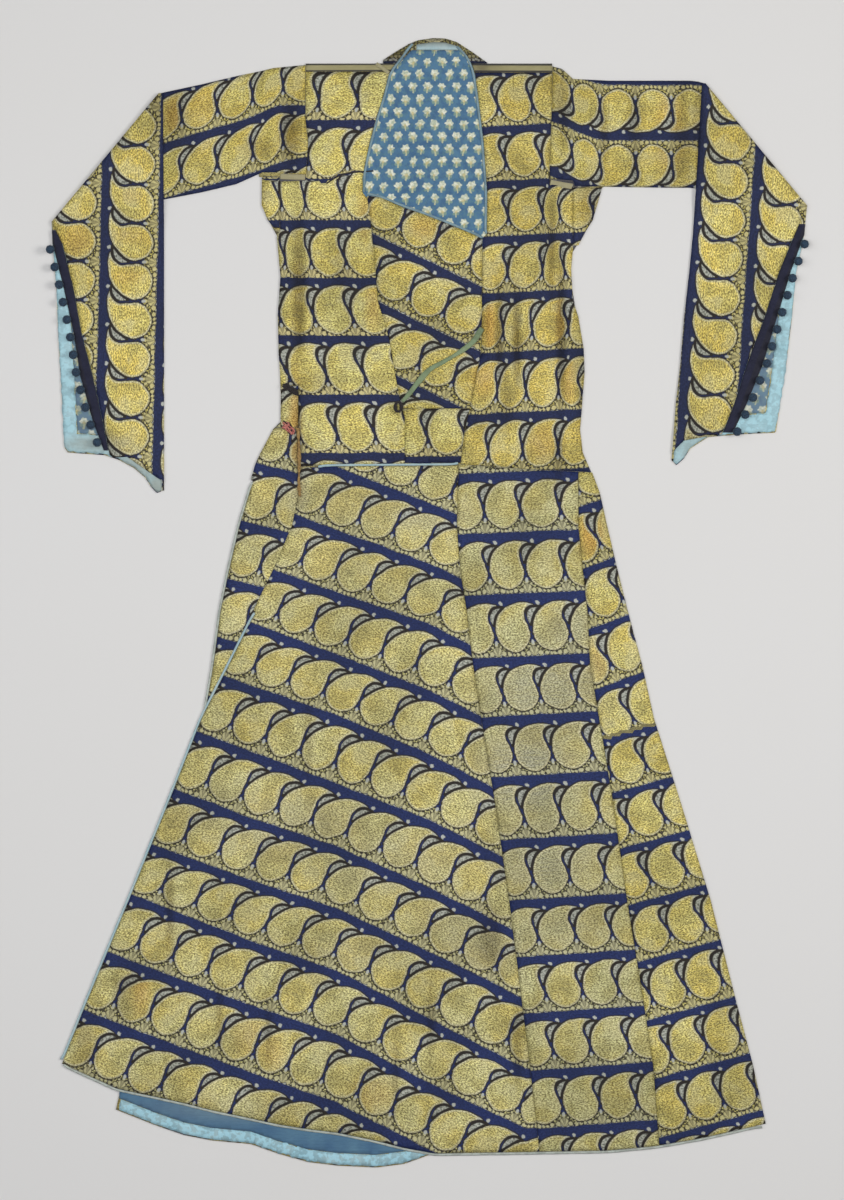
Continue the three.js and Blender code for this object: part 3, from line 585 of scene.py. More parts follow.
def finish_piece(piece, replaced):
    """Hides the nodes that a piece stands for and hangs it on the body it rides on."""
    if replaced:
        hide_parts(*replaced)
    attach(piece, BODY)
    return piece


def join(name, parts):
    """Several meshes of one make as one piece."""
    bpy.ops.object.select_all(action="DESELECT")
    for part in parts:
        part.select_set(True)
    bpy.context.view_layer.objects.active = parts[0]
    bpy.ops.object.join()
    parts[0].name = name
    parts[0].data.name = name
    return parts[0]


def thicken(piece, thickness):
    """A wall under the top face, made part of the mesh."""
    wall = piece.modifiers.new("wall", "SOLIDIFY")
    wall.thickness = thickness * MM
    wall.offset = -1
    wall.use_even_offset = False
    depsgraph = bpy.context.evaluated_depsgraph_get()
    mesh = bpy.data.meshes.new_from_object(piece.evaluated_get(depsgraph))
    piece.modifiers.clear()
    piece.data = mesh
    return piece


# How far a seamed rim dips, and how far in from it.
SEAM_DIP = 0.55
SEAM_REACH = 2.6
FRAY_REACH = 1.5


def cloth(name, rim, rows, material, thickness, step, where=None, roll=0.0, lift=0.0, dip=SEAM_DIP,
          fray=0.0):
    """A panel of cloth on the bed: its height is the bed, its own thickness, the folds and ripple.

    Towards its rim it dips by a bell curve where it is seamed, or rolls over by a quarter circle. A
    frayed rim wanders in and out by two waves.
    """
    flat, tri = mesh_within(rim, step)
    if fray:
        out = flat - rim.mean(0)
        out /= np.maximum(np.linalg.norm(out, axis=1)[:, None], 1e-6)
        near = np.exp(-((to_line(flat, rim) / FRAY_REACH) ** 2))
        wave = np.sin(flat[:, 0] * 0.9 + 2 * np.sin(flat[:, 1] * 0.3)) + np.sin(flat[:, 0] * 0.37)
        flat = flat + out * (near * wave * fray)[:, None]
    gap = to_line(flat, rim)
    z = sample(LIE.bed, flat) + thickness + PLY_AIR + lift
    if where:
        fuller = np.clip(gap / FOLDS_FROM_RIM, FOLDS_AT_RIM, 1)
        z = z + (folds(where, flat) + ripple(flat) + RIPPLE) * fuller
    z = z - dip * np.exp(-((gap / SEAM_REACH) ** 2))
    if roll:
        inward = np.clip(gap / roll, 0, 1)
        z = z - 0.5 * thickness * (1 - np.sqrt(1 - (1 - inward) ** 2))
    z = np.maximum(z, thickness + FLOOR_AIR)
    piece = make_object(name, np.column_stack([flat, z]), tri, material, rows(flat), tones(flat))
    return thicken(piece, thickness)


def raise_lie(rims, thickness, where=None):
    """Adds a ply to what lies so far."""
    points = GRID.reshape(-1, 2)
    height = LIE.bed + thickness + PLY_AIR
    if where:
        height = height + (folds(where, points) + ripple(points) + RIPPLE).reshape(LIE.bed.shape)
    for rim in rims:
        LIE.cover(rim, height)


def cut_area(rim):
    """The area inside an outline, half the sum of its crossed corners, in square metres."""
    x, y = rim[:, 0], rim[:, 1]
    return abs((x * np.roll(y, -1) - y * np.roll(x, -1)).sum()) / 2 * MM * MM


# The least side that a cut is stated with, and the least share of its box that it may fill; one that
# fills less is stated as a straight strip, half of which it fills.
LEAST_CUT = 0.0102
LEAST_SHARE = 0.35


def declare_cut(piece, rim, width=None):
    """Works out the box round what shows of a flat piece, turned to its longest way; gives back the piece.
    """
    _, axes = np.linalg.eigh(np.cov((rim - rim.mean(0)).T))
    level = rim.max(0) - rim.min(0)
    turned = (rim @ axes).max(0) - (rim @ axes).min(0)
    size = np.maximum(min(level, turned, key=np.prod) * MM, LEAST_CUT)
    if width:
        return piece
    area = cut_area(rim)
    if area < LEAST_SHARE * size.prod():
        size = np.array([area / (0.5 * size.max()), size.max()])
    return (piece, min(area, float(size.prod())))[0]


# How far the weave runs once round a tube.
PROFILE_ROUND = 8


def ring_faces(rings, sides, closed=False):
    """Four-sided faces between rings of points, and from the last to the first where closed."""
    i, k = np.meshgrid(np.arange(rings if closed else rings - 1), np.arange(sides), indexing="ij")
    here, there, following = i * sides, (i + 1) % rings * sides, (k + 1) % sides
    faces = np.stack([here + k, there + k, there + following, here + following], axis=2)
    return faces.reshape(-1, 4)


def capped_faces(rings, sides):
    """The same, with a fan at each end to two more points that follow the rings."""
    k = np.arange(sides)
    following = (k + 1) % sides
    end = (rings - 1) * sides
    tip = np.full(sides, rings * sides)
    first = np.column_stack([tip, k, following])
    last = np.column_stack([tip + 1, end + following, end + k])
    return ring_faces(rings, sides).tolist() + first.tolist() + last.tolist()


def tube(name, path, heights, radii, material, sides=8):
    """A round or oval profile carried along a path, closed by a point at each end."""
    along = np.gradient(path, axis=0)
    along /= np.maximum(np.linalg.norm(along, axis=1)[:, None], 1e-9)
    side = np.column_stack([-along[:, 1], along[:, 0]])
    angle = 2 * np.pi * np.arange(sides) / sides
    wide, tall = radii
    wide = np.broadcast_to(wide, len(path))[:, None]
    tall = np.broadcast_to(tall, len(path))[:, None]
    xy = path[:, None] + side[:, None] * (wide * np.cos(angle))[..., None]
    z = heights[:, None] + tall * np.sin(angle)
    rings = np.concatenate([xy, z[..., None]], axis=2).reshape(-1, 3)
    ends = np.column_stack([path[[0, -1]], heights[[0, -1]]])
    length = run_along(path)
    across = np.broadcast_to(angle / (2 * np.pi) * PROFILE_ROUND, (len(path), sides))
    uv = np.stack([np.repeat(length[:, None], sides, 1), across], axis=2).reshape(-1, 2)
    uv = np.vstack([uv, [[0, 0], [length[-1], 0]]])
    faces = capped_faces(len(path), sides)
    return turn_out(make_object(name, np.vstack([rings, ends]), faces, material, uv))


def turn_out(piece):
    """Faces turned outwards on a closed shape."""
    shape = bmesh.new()
    shape.from_mesh(piece.data)
    bmesh.ops.recalc_face_normals(shape, faces=shape.faces)
    shape.to_mesh(piece.data)
    shape.free()
    return piece


def between(values):
    """Each inner value, drawn towards its neighbours."""
    return (values[:-2] + 2 * values[1:-1] + values[2:]) / 4


def bridged(heights, times):
    """Heights along a line, raised over its hollows as a stiff cord lies."""
    for _ in range(times):
        heights[1:-1] = np.maximum(heights[1:-1], between(heights))
    return heights


def middle_line(rim, step=3.0):
    """The line midway between the two long sides of a narrow strip."""
    dense = resample(rim, 1.0)
    apart = np.linalg.norm(dense[:, None] - dense[None], axis=2)
    a, b = sorted(np.unravel_index(apart.argmax(), apart.shape))
    one, two = dense[a : b + 1], np.vstack([dense[b:], dense[: a + 1]])[::-1]
    count = max(4, int(apart.max() / step))
    lines = []
    for side in (one, two):
        run = run_along(side)
        t = np.linspace(0, run[-1], count)
        lines.append(np.column_stack([np.interp(t, run, side[:, 0]), np.interp(t, run, side[:, 1])]))
    line = (lines[0] + lines[1]) / 2
    for _ in range(6):
        line[1:-1] = between(line)
    return line


# ---- Materials -----------------------------------------------------------------------------------
def linear(rgb):
    """A colour on the usual 0 to 255 scale as the renderer's own light values."""
    c = np.array(rgb, float) / 255
    c = np.where(c <= 0.04045, c / 12.92, ((c + 0.055) / 1.055) ** 2.4)
    return (*c.tolist(), 1.0)


class Value:
    """A number that varies over the cloth. Sums written with it become Math nodes."""

    def __init__(self, finish, socket):
        self.finish = finish
        self.socket = socket

    def math(self, operation, *others):
        """This and the others, numbers or values, put together by one Math node."""
        node = self.finish.nodes.new("ShaderNodeMath")
        node.operation = operation
        for i, value in enumerate((self, *others)):
            if isinstance(value, Value):
                self.finish.links.new(value.socket, node.inputs[i])
            else:
                node.inputs[i].default_value = float(value)
        return Value(self.finish, node.outputs[0])

    def __add__(self, other):
        return self.math("ADD", other)

    def __radd__(self, other):
        return self.math("ADD", other)

    def __sub__(self, other):
        return self.math("SUBTRACT", other)

    def __rsub__(self, other):
        return self.math("MULTIPLY_ADD", -1.0, other)

    def __mul__(self, other):
        return self.math("MULTIPLY", other)

    def __rmul__(self, other):
        return self.math("MULTIPLY", other)

    def __truediv__(self, other):
        return self.math("DIVIDE", other)

    def __neg__(self):
        return self.math("MULTIPLY", -1.0)

    def low(self, *others):
        """The lowest of this and the others."""
        value = self
        for other in others:
            value = value.math("MINIMUM", other)
        return value

    def high(self, *others):
        """The highest of this and the others."""
        value = self
        for other in others:
            value = value.math("MAXIMUM", other)
        return value

    def wrap(self, size):
        """The remainder, from nothing to size."""
        return self.math("FLOORED_MODULO", size)

    def below(self, edge=0.0, soft=0.5):
        """One where this is under the edge, nothing where it is over, with a soft change."""
        node = self.finish.nodes.new("ShaderNodeMapRange")
        node.clamp = True
        self.finish.links.new(self.socket, node.inputs["Value"])
        node.inputs["From Min"].default_value = edge - soft / 2
        node.inputs["From Max"].default_value = edge + soft / 2
        node.inputs["To Min"].default_value = 1.0
        node.inputs["To Max"].default_value = 0.0
        return Value(self.finish, node.outputs["Result"])

    def above(self, edge=0.0, soft=0.5):
        """One where this is over the edge."""
        return 1.0 - self.below(edge, soft)


def far(a, b, x=0.0, y=0.0):
    """The distance of the point a, b from x, y."""
    dx, dy = a - x, b - y
    return (dx * dx + dy * dy).math("SQRT")


class Finish:
    """A material in the making: the surface shader and the nodes that feed it."""

    def __init__(self, name, roughness=0.6, sheen=0.0):
        self.material = bpy.data.materials.new(name)
        self.material.use_nodes = True
        self.nodes = self.material.node_tree.nodes
        self.links = self.material.node_tree.links
        self.shader = self.nodes["Principled BSDF"]
        self.shader.inputs["Roughness"].default_value = roughness
        self.shader.inputs["Sheen Weight"].default_value = sheen
        self.shader.inputs["Sheen Roughness"].default_value = 0.4

    def weave(self):
        """The piece's own rows and columns, in millimetres."""
        node = self.nodes.new("ShaderNodeUVMap")
        node.uv_map = "weave"
        apart = self.nodes.new("ShaderNodeSeparateXYZ")
        self.links.new(node.outputs[0], apart.inputs[0])
        return Value(self, apart.outputs[0]) * 1000, Value(self, apart.outputs[1]) * 1000

    def place(self):
        """The point on the garment, in millimetres."""
        node = self.nodes.new("ShaderNodeTexCoord")
        apart = self.nodes.new("ShaderNodeSeparateXYZ")
        self.links.new(node.outputs["Object"], apart.inputs[0])
        return tuple(Value(self, apart.outputs[i]) * 1000 for i in range(3))

    def tone(self):
        """How far the cloth is worn to orange, greyed and shaded at a point."""
        node = self.nodes.new("ShaderNodeAttribute")
        node.attribute_name = "tone"
        apart = self.nodes.new("ShaderNodeSeparateColor")
        self.links.new(node.outputs["Color"], apart.inputs[0])
        return tuple(Value(self, apart.outputs[i]) for i in range(3))

    def noise(self, a, b, size, detail=2.0, c=0.0, rough=0.5):
        """Soft random marks of about that size, from nothing to one."""
        together = self.nodes.new("ShaderNodeCombineXYZ")
        for i, value in enumerate((a, b, c)):
            if isinstance(value, Value):
                self.links.new(value.socket, together.inputs[i])
            else:
                together.inputs[i].default_value = value
        node = self.nodes.new("ShaderNodeTexNoise")
        self.links.new(together.outputs[0], node.inputs["Vector"])
        node.inputs["Scale"].default_value = 1.0 / size
        node.inputs["Detail"].default_value = detail
        node.inputs["Roughness"].default_value = rough
        return Value(self, node.outputs[0])

    def cells(self, a, b, size):
        """How far each point is from the middle of its own small cell, in parts of the size."""
        together = self.nodes.new("ShaderNodeCombineXYZ")
        self.links.new(a.socket, together.inputs[0])
        self.links.new(b.socket, together.inputs[1])
        node = self.nodes.new("ShaderNodeTexVoronoi")
        node.voronoi_dimensions = "2D"
        self.links.new(together.outputs[0], node.inputs["Vector"])
        node.inputs["Scale"].default_value = 1.0 / size
        return Value(self, node.outputs["Distance"])

    def mix(self, amount, first, second, blend="MIX"):
        """The first colour where amount is nothing, the second where it is one."""
        node = self.nodes.new("ShaderNodeMix")
        node.data_type = "RGBA"
        node.blend_type = blend
        if isinstance(amount, Value):
            self.links.new(amount.socket, node.inputs[0])
        else:
            node.inputs[0].default_value = amount
        for socket, value in ((node.inputs[6], first), (node.inputs[7], second)):
            if isinstance(value, bpy.types.NodeSocket):
                self.links.new(value, socket)
            else:
                socket.default_value = linear(value)
        return node.outputs[2]

    def shaded(self, colour, amount, tint):
        """The colour times a tint, in part."""
        return self.mix(amount, colour, tint, "MULTIPLY")

    def layers(self, colour, *masks_and_colours):
        """A colour with others laid over it in turn, each by its own mask."""
        for mask, over in masks_and_colours:
            colour = self.mix(mask, colour, over)
        return colour

    def paint(self, colour, rough=None, metal=None, height=None, depth=0.3):
        """Feeds the shader; height is a bump in parts of depth, in millimetres."""
        self.links.new(colour, self.shader.inputs["Base Color"])
        if rough is not None:
            self.links.new(rough.socket, self.shader.inputs["Roughness"])
        if metal is not None:
            self.links.new(metal.socket, self.shader.inputs["Metallic"])
        if height is not None:
            bump = self.nodes.new("ShaderNodeBump")
            bump.inputs["Distance"].default_value = depth * MM
            bump.inputs["Strength"].default_value = 1.0
            self.links.new(height.socket, bump.inputs["Height"])
            self.links.new(bump.outputs[0], self.shader.inputs["Normal"])
        return self.material


# The circles that the brocade's pattern is drawn from, each the x and y of its middle in its cell, from
# the middle of a boteh's disc, and its radius.
DISC = (0, 0, 18.5)
DISC_FOOT = (0, -4.5, 14.6)
HORN_BACK = (19.3, -7.8, 39.3)
HORN_HOLLOW = (33.2, 14, 15.5)
PALMETTE = (0, -19.2, 4.8)
FLORETS_BETWEEN = ((6.9, -21.5, 2.5), (0, -12.4, 1.9), (4.6, -14.6, 1.4))
FLORETS_UNDER = ((7.2, -21.9, 2.3), (2.1, -22.4, 1.8))
BUD = (0, -9.6, 2.4)
TREFOIL = ((0, 2.6, 1.8), (2.9, 1.3, 1.6))
DOT = (-3.5, 31, 2)
# How far a band lies over the disc's middle in the pattern as drawn; how many small teeth run round a
# disc, petals round a palmette and trefoils along a cell; and the size of the lace and of the ribs.
DRAWN_DROP = 33.0
TEETH = 26
PETALS = 10
TREFOILS = 4
LACE_CELL = 2.1
RIB_PITCH = 1.3


def circle(a, b, ring):
    """How far the point a, b is outside a circle; less than nothing inside it."""
    x, y, radius = ring
    return far(a, b, x, y) - radius


def times(colour, *parts):
    """A colour with its three channels multiplied, one part for all or one for each, white at most."""
    return tuple(min(255, c * k) for c, k in zip(colour, parts * 3 if len(parts) == 1 else parts))


def gold_thread(f, gold, u, w, grain, ashen):
    """The botehs' own gold: metal thread with sunny, dull, pale, streaked, worn and greyed places."""
    worn, grey, _ = f.tone()
    broad = f.noise(u, w, 55, 3.0, 3.0)
    patchy = f.noise(u, w, 23, 2.0, 17.0)
    streak = f.noise(u * 0.12, w, 2.2, 2.0, 11.0)
    ash = (grey + ashen) * (streak.above(0.42, 0.3) * 0.7 + 0.35)
    lit = tuple(min(255, c * 1.24 + 12) for c in gold)
    return f.layers(
        f.mix(grain, times(gold, 0.68, 0.65, 0.6), lit),
        (broad.above(0.5, 0.2) * 0.55, f.mix(grain, (152, 130, 62), times(lit, 1.0, 0.93, 0.68))),
        (patchy.below(0.44, 0.16) * 0.5, f.mix(grain, (112, 104, 62), (176, 164, 98))),
        (patchy.above(0.57, 0.14) * 0.5, f.mix(grain, (158, 152, 108), (226, 220, 172))),
        (streak.below(0.42, 0.12) * 0.4, f.mix(grain, (92, 88, 62), (176, 170, 122))),
        (worn * 0.75, f.mix(grain, (142, 100, 36), (228, 180, 92))),
        (ash.low(0.9), f.mix(grain, (108, 106, 92), (186, 184, 160))),
    )


def brocade(name, drop=DRAWN_DROP, band=8.0, lean=0.0, gold=(186, 172, 96),
            navy=((26, 36, 74), (43, 56, 106)), ashen=0.0, reverse=False):
    """Gold botehs in rows on navy silk, with bands between the rows.

    A boteh is a disc whose top runs out into a horn: inside a wide circle, outside a small one at
    its right. A pale leaf fills the hollow between horn and neighbour; under each row stand
    palmettes and florets in lace, with trefoils along the band's edge.
    """
    f = Finish(name, roughness=0.5, sheen=0.02)
    f.shader.inputs["Specular IOR Level"].default_value = 0.2
    u0, w0 = f.weave()
    x, y, _ = f.place()
    _, _, shade = f.tone()
    # the cell: a and b from the disc's middle, up over the foot of the row, e over the band's edge
    u = u0 + (f.noise(u0, w0, 22, 1.0) - 0.5) * 3.4 + (f.noise(u0, w0, 5, 1.0, 80.0) - 0.5)
    w = w0 + (f.noise(u0, w0, 19, 1.0, 40.0) - 0.5) * 2.6 + (f.noise(u0, w0, 5, 1.0, 90.0) - 0.5)
    base = ROW - drop - band
    raw = (w + base).wrap(ROW) - base
    up = raw.high(0.0)
    b = raw.low(0.0) + up / (drop / DRAWN_DROP)
    a = (u + up * lean + PITCH / 2).wrap(PITCH) - PITCH / 2
    left = a + PITCH
    e = b + base
    # a boteh, the horn of the one at its left, and the leaf and hood between them
    wide = circle(a, b, HORN_BACK)
    hollow = circle(left, b, HORN_HOLLOW)
    body = circle(a, b, DISC).low(circle(a, b, DISC_FOOT))
    own = wide.high(-circle(a, b, HORN_HOLLOW), (a - 18.3).low(14.0 - b), a - 31.5, -b)
    horn = circle(left, b, HORN_BACK).high(-hollow, left - 31.8, 12.0 - b)
    shape = body.low(own, horn)
    leaf = (hollow + 3.4).high(3.0 - wide, 10.5 - b)
    hood = hollow.high(-wide, 7.0 - b).below(0, 0.8)
    tip = horn.below(0, 0.6) * left.above(26.0, 4.0)
    dot = circle(a, b, DOT).low(circle(left, b, (DOT[0] + PITCH, *DOT[1:])))
    # what stands under a row, the same to both sides of a disc
    under = a.math("ABSOLUTE")
    half = PITCH / 2 - under
    c = b - (25 - base) * 0.8
    palmette = circle(half, c, PALMETTE)
    petals = ((c - PALMETTE[1] + 5.0).math("ARCTAN2", half) * PETALS).math("SINE")
    florets = circle(half, c, FLORETS_BETWEEN[0]).low(
        *(circle(half, c, ring) for ring in FLORETS_BETWEEN[1:]),
        *(circle(under, c, ring) for ring in FLORETS_UNDER))
    bud = circle(half * 1.5, b, BUD)
    lobe = (u.wrap(PITCH / TREFOILS) - PITCH / TREFOILS / 2).math("ABSOLUTE")
    trefoil = circle(lobe, e, TREFOIL[0]).low(circle(lobe, e, TREFOIL[1]))
    # the threads' own unevenness
    speck = f.noise(u0 * 0.7, w0 * 1.3, 1.45, 3.0, 0.0, 0.65)
    tuft = f.noise(u0, w0 * 1.3, 2.3, 1.0, 7.0)
    grain = (speck * 0.75 + tuft * 0.25).above(0.5, 0.12)
    lace = f.cells(u, w, LACE_CELL)
    teeth = (tuft - 0.5) * 2.4
    scallop = (b.math("ARCTAN2", a) * TEETH).math("SINE") * b.below(2.0, 5.0)
    # the silks and threads
    bright = times(gold, 1.2)
    chalky = tuple((c + chalk) / 2 for c, chalk in zip(bright, (248, 242, 214)))
    fill = gold_thread(f, gold, u0, w0, grain, ashen)
    pale = f.mix(grain, (150, 142, 104), (222, 216, 176))
    blue = f.mix(tuft.above(0.5, 0.5), *navy)
    ink = f.mix(speck, (25, 23, 24), (56, 50, 44))
    silver = f.mix(tuft.above(0.47, 0.3), (96, 98, 90), (186, 188, 176))
    thread = f.mix(grain, times(gold, 0.7), bright)
    shadow = f.mix(speck, (32, 33, 44), (100, 92, 66))
    cream = f.mix(speck, times(gold, 0.74), chalky)
    white = f.mix(speck, (132, 136, 134), (216, 218, 206))
    bloom = f.mix(petals.above(0.2, 0.8) * 0.55, cream, shadow)
    web = f.mix(lace.below(0.43, 0.2), shadow, thread)
    # from the ground up
    banded = (b - DRAWN_DROP).above(0, 0.6)
    ground = f.layers(
        blue,
        (b.below(-9.5, 1.0) * (e - lace * 3.2).above(-0.9, 0.8), web),
        ((trefoil - teeth).below(0.7, 0.8) * e.above(0, 0.6), ink),
        ((trefoil + teeth).below(0, 0.8), white),
        ((palmette.low(florets) - teeth).below(0.9, 0.7) * e.above(-0.4, 0.6) * 0.85, ink),
        ((florets + teeth).below(-0.1, 0.8) * e.above(-0.6, 0.6), cream),
        (palmette.below(-0.1, 0.8) * e.above(-0.2, 0.6), bloom),
        (bud.below(0, 0.9), white),
        (hood, ink),
        (leaf.below(0, 0.8), silver),
        ((shape - teeth - scallop * 0.9).below(1.3, 1.1) * 0.94, ink),
        ((shape + teeth * 0.3).below(0, 0.8), pale),
        (shape.below(-1.7, 1.8), fill),
        (tip * 0.8, white),
        (banded, blue),
        ((dot + teeth).below(0, 0.9), white),
    )
    if reverse:
        ground = f.mix(0.45, ground, (120, 112, 84))
    # the whole piece darker and duller in soft random blotches some 75 mm across
    mottle = f.noise(x, y, 75, 3.0, 31.0)
    ground = f.shaded(ground, shade * 0.7, (112, 94, 62))
    ground = f.shaded(ground, mottle.below(0.5, 0.24) * 0.42, (186, 184, 168))
    gilt = shape.below(-0.5, 1.0) * (1.0 - banded)
    rib = (w0 * (2 * math.pi / RIB_PITCH)).math("SINE")
    crumple = f.noise(x, y, 30, 2.0) * 7.0 + f.noise(x, y * 0.35, 13, 1.0, 60.0) * 2.6
    height = gilt * 0.7 + grain * 0.35 + rib * 0.16 + crumple
    return f.paint(ground, rough=0.62 - gilt * 0.12, metal=gilt * 0.2, height=height, depth=0.26)


# The printed cotton's cell, every other row of which is moved along by half of one.
PRINT_WIDE = 16.2
PRINT_TALL = 13.8
PRINT_PETALS = 7


def printed_cotton(name, faded=0.0):
    """Blue cotton printed with small cream flowers, each a fan of petals on a leafy stem."""
    f = Finish(name, roughness=0.85, sheen=0.1)
    u0, w0 = f.weave()
    fray = f.noise(u0, w0, 2.8, 2.0, 21.0)
    u = u0 + (f.noise(u0, w0, 14, 1.0) - 0.5) * 6.0 + (fray - 0.5) * 2.2
    w = w0 + (f.noise(u0, w0, 12, 1.0, 9.0) - 0.5) * 6.0 + (fray - 0.5) * 1.6
    row = (w / PRINT_TALL).math("FLOOR")
    a = (u + (row * 0.5).math("FRACT") * PRINT_WIDE).wrap(PRINT_WIDE) - PRINT_WIDE / 2
    b = w.wrap(PRINT_TALL) - PRINT_TALL / 2
    petals = (b.math("ARCTAN2", a) * PRINT_PETALS).math("SINE")
    fan = (far(a, b * 1.1, 0, 1.0) - (petals * 0.6 + 4.2)).high(-(b + 1.4))
    stem = (a.math("ABSOLUTE") - 0.9).high(b, -(b + 7.8))
    leaves = circle(a.math("ABSOLUTE"), b, (2.4, -3.4, 1.7))
    eye = circle(a, b, (0, -1.2, 1.7))
    thread = f.noise(u0 * 3.0, w0 * 0.4, 1.4, 1.0, 5.0)
    ground = f.layers(
        f.mix(f.noise(u0, w0, 26, 3.0, 2.0), (56, 92, 130), (94, 138, 164)),
        (f.noise(u0, w0, 6, 2.0, 33.0).below(0.46, 0.2) * 0.5, (48, 80, 118)),
        (f.noise(u0, w0, 4, 2.0, 44.0).above(0.56, 0.14) * 0.4, (96, 134, 134)),
        (thread * 0.4, (60, 96, 128)),
        (leaves.below(0, 1.2) * 0.7, (136, 158, 132)),
        (stem.below(0, 0.9) * 0.85, (190, 192, 150)),
        (fan.below(0.3, 1.2) * 0.95, f.mix(fray.above(0.5, 0.3), (170, 180, 156), (228, 228, 208))),
        (eye.below(0, 1.4) * 0.55, (190, 170, 96)),
        (faded, (142, 150, 146)),
    )
    return f.paint(ground, height=thread, depth=0.15)


def plain_silk(name, colour, alt, rib=1.6, rough=0.5, tatter=0.0, depth=0.25, across=False, edged=0.0):
    """Plain woven silk: fine ribs, a soft change of shade, and paler threads where it has worn.

    Where it is edged, it darkens that far from its middle; otherwise it is greyed by its tone.
    """
    f = Finish(name, roughness=rough, sheen=0.25)
    u0, w0 = f.weave()
    cloud = f.noise(u0, w0, 24, 3.0, 1.0)
    thread = f.noise(u0 * (0.3 if across else 2.5), w0 * (2.5 if across else 0.3), 1.6, 2.0, 4.0)
    ground = f.mix(cloud.above(0.5, 0.5), colour, alt)
    ground = f.mix(thread * 0.45, ground, times(colour, 0.72))
    if tatter:
        torn = f.noise(u0, w0, 5, 3.0, 8.0).above(0.5, 0.1)
        ground = f.mix(torn * tatter, ground, tuple(min(255, c * 1.15 + 20) for c in colour))
    _, grey, shade = f.tone()
    if not edged:
        ground = f.mix(grey.low(0.9), ground, (150, 158, 150))
    ground = f.shaded(ground, shade * 0.6, (120, 110, 96))
    if edged:
        ground = f.mix(w0.math("ABSOLUTE").above(edged, 0.8) * 0.85, ground, (24, 24, 40))
    wave = ((w0 if across else u0) * (2 * math.pi / rib)).math("SINE") * 0.3
    return f.paint(ground, height=thread + wave, depth=depth)


def spun(name, colour, alt, size=1.2):
    """Thread: dark and light strands, with a bump of their own."""
    f = Finish(name, roughness=0.8, sheen=0.1)
    x, y, z = f.place()
    strand = f.noise(x, y, size, 2.0, z)
    broad = f.noise(x, y, size * 5, 1.0, z)
    ground = f.mix(strand.above(0.5, 0.3), colour, alt)
    ground = f.mix(broad * 0.3, ground, times(colour, 0.7))
    return f.paint(ground, height=strand, depth=0.5)


MATERIALS = {}


def make_materials():
    """Every finish on the garment, by name; the bodice and sleeves have a duskier navy."""
    dusk = ((28, 34, 60), (42, 51, 90))
    MATERIALS.update(
        bodice=brocade("brocade_bodice", drop=37.5, band=7.0, lean=0.33, gold=(204, 189, 116), navy=dusk),
        left_bodice=brocade("brocade_left_bodice", drop=35.0, band=7.0, lean=0.28, gold=(192, 178, 100),
                            navy=dusk),
        gore=brocade("brocade_gore", gold=(186, 180, 122)),
        wedge=brocade("brocade_wedge", drop=32.0, band=7.0, lean=0.1, gold=(186, 174, 98), navy=dusk),
        panel=brocade("brocade_panel", drop=33.5, lean=0.25, gold=(174, 171, 122)),
        outer=brocade("brocade_outer", drop=34.5, band=6.0, lean=0.28, gold=(193, 183, 110)),
        sleeve=brocade("brocade_sleeve", lean=0.12, gold=(188, 176, 98), navy=dusk),
        wrist=brocade("brocade_wrist", lean=0.06, gold=(195, 182, 103), navy=dusk),
        back=brocade("brocade_reverse", reverse=True),
        collar=brocade("brocade_collar", drop=24.0, band=2.0, gold=(150, 144, 92), navy=dusk, ashen=0.2),
        print=printed_cotton("printed_lining"),
        wrist_print=printed_cotton("printed_wrist_lining", faded=0.28),
        blue=plain_silk("blue_lining", (66, 104, 138), (92, 132, 156), rough=0.85, across=True),
        neck_silk=plain_silk("light_silk_piping", (160, 192, 200), (190, 208, 208), rib=1.0),
        collar_silk=plain_silk("light_silk_collar", (104, 132, 142), (150, 176, 184), rib=1.0, tatter=0.3),
        cuff_silk=plain_silk("light_silk_cuff", (146, 188, 198), (180, 214, 222), tatter=0.35,
                             across=True),
        hem_silk=plain_silk("light_silk_hem", (128, 172, 186), (176, 204, 208), tatter=0.6),
        worn_silk=plain_silk("light_silk_worn", (158, 166, 158), (182, 186, 176), rib=1.0, tatter=0.4),
        khaki=plain_silk("khaki_silk", (150, 142, 98), (170, 162, 120), rough=0.7, across=True, edged=2.7),
        underarm=plain_silk("khaki_underarm", (158, 150, 112), (180, 172, 138), rough=0.7),
        braid=plain_silk("navy_silk", (14, 16, 42), (26, 30, 62), rib=1.4, rough=0.75, depth=0.5,
                         edged=3.9),
        button=spun("button_thread", (15, 28, 48), (46, 76, 100), size=0.9),
        ribbon=plain_silk("green_silk", (92, 112, 80), (148, 164, 122), rib=1.1, rough=0.5, tatter=0.4),
        dark=spun("dark_thread", (20, 17, 20), (48, 40, 40)),
        pink=spun("pink_thread", (170, 84, 80), (206, 140, 124), size=1.6),
        worn_edge=spun("worn_edge", (116, 90, 50), (170, 138, 80), size=2.0),
    )


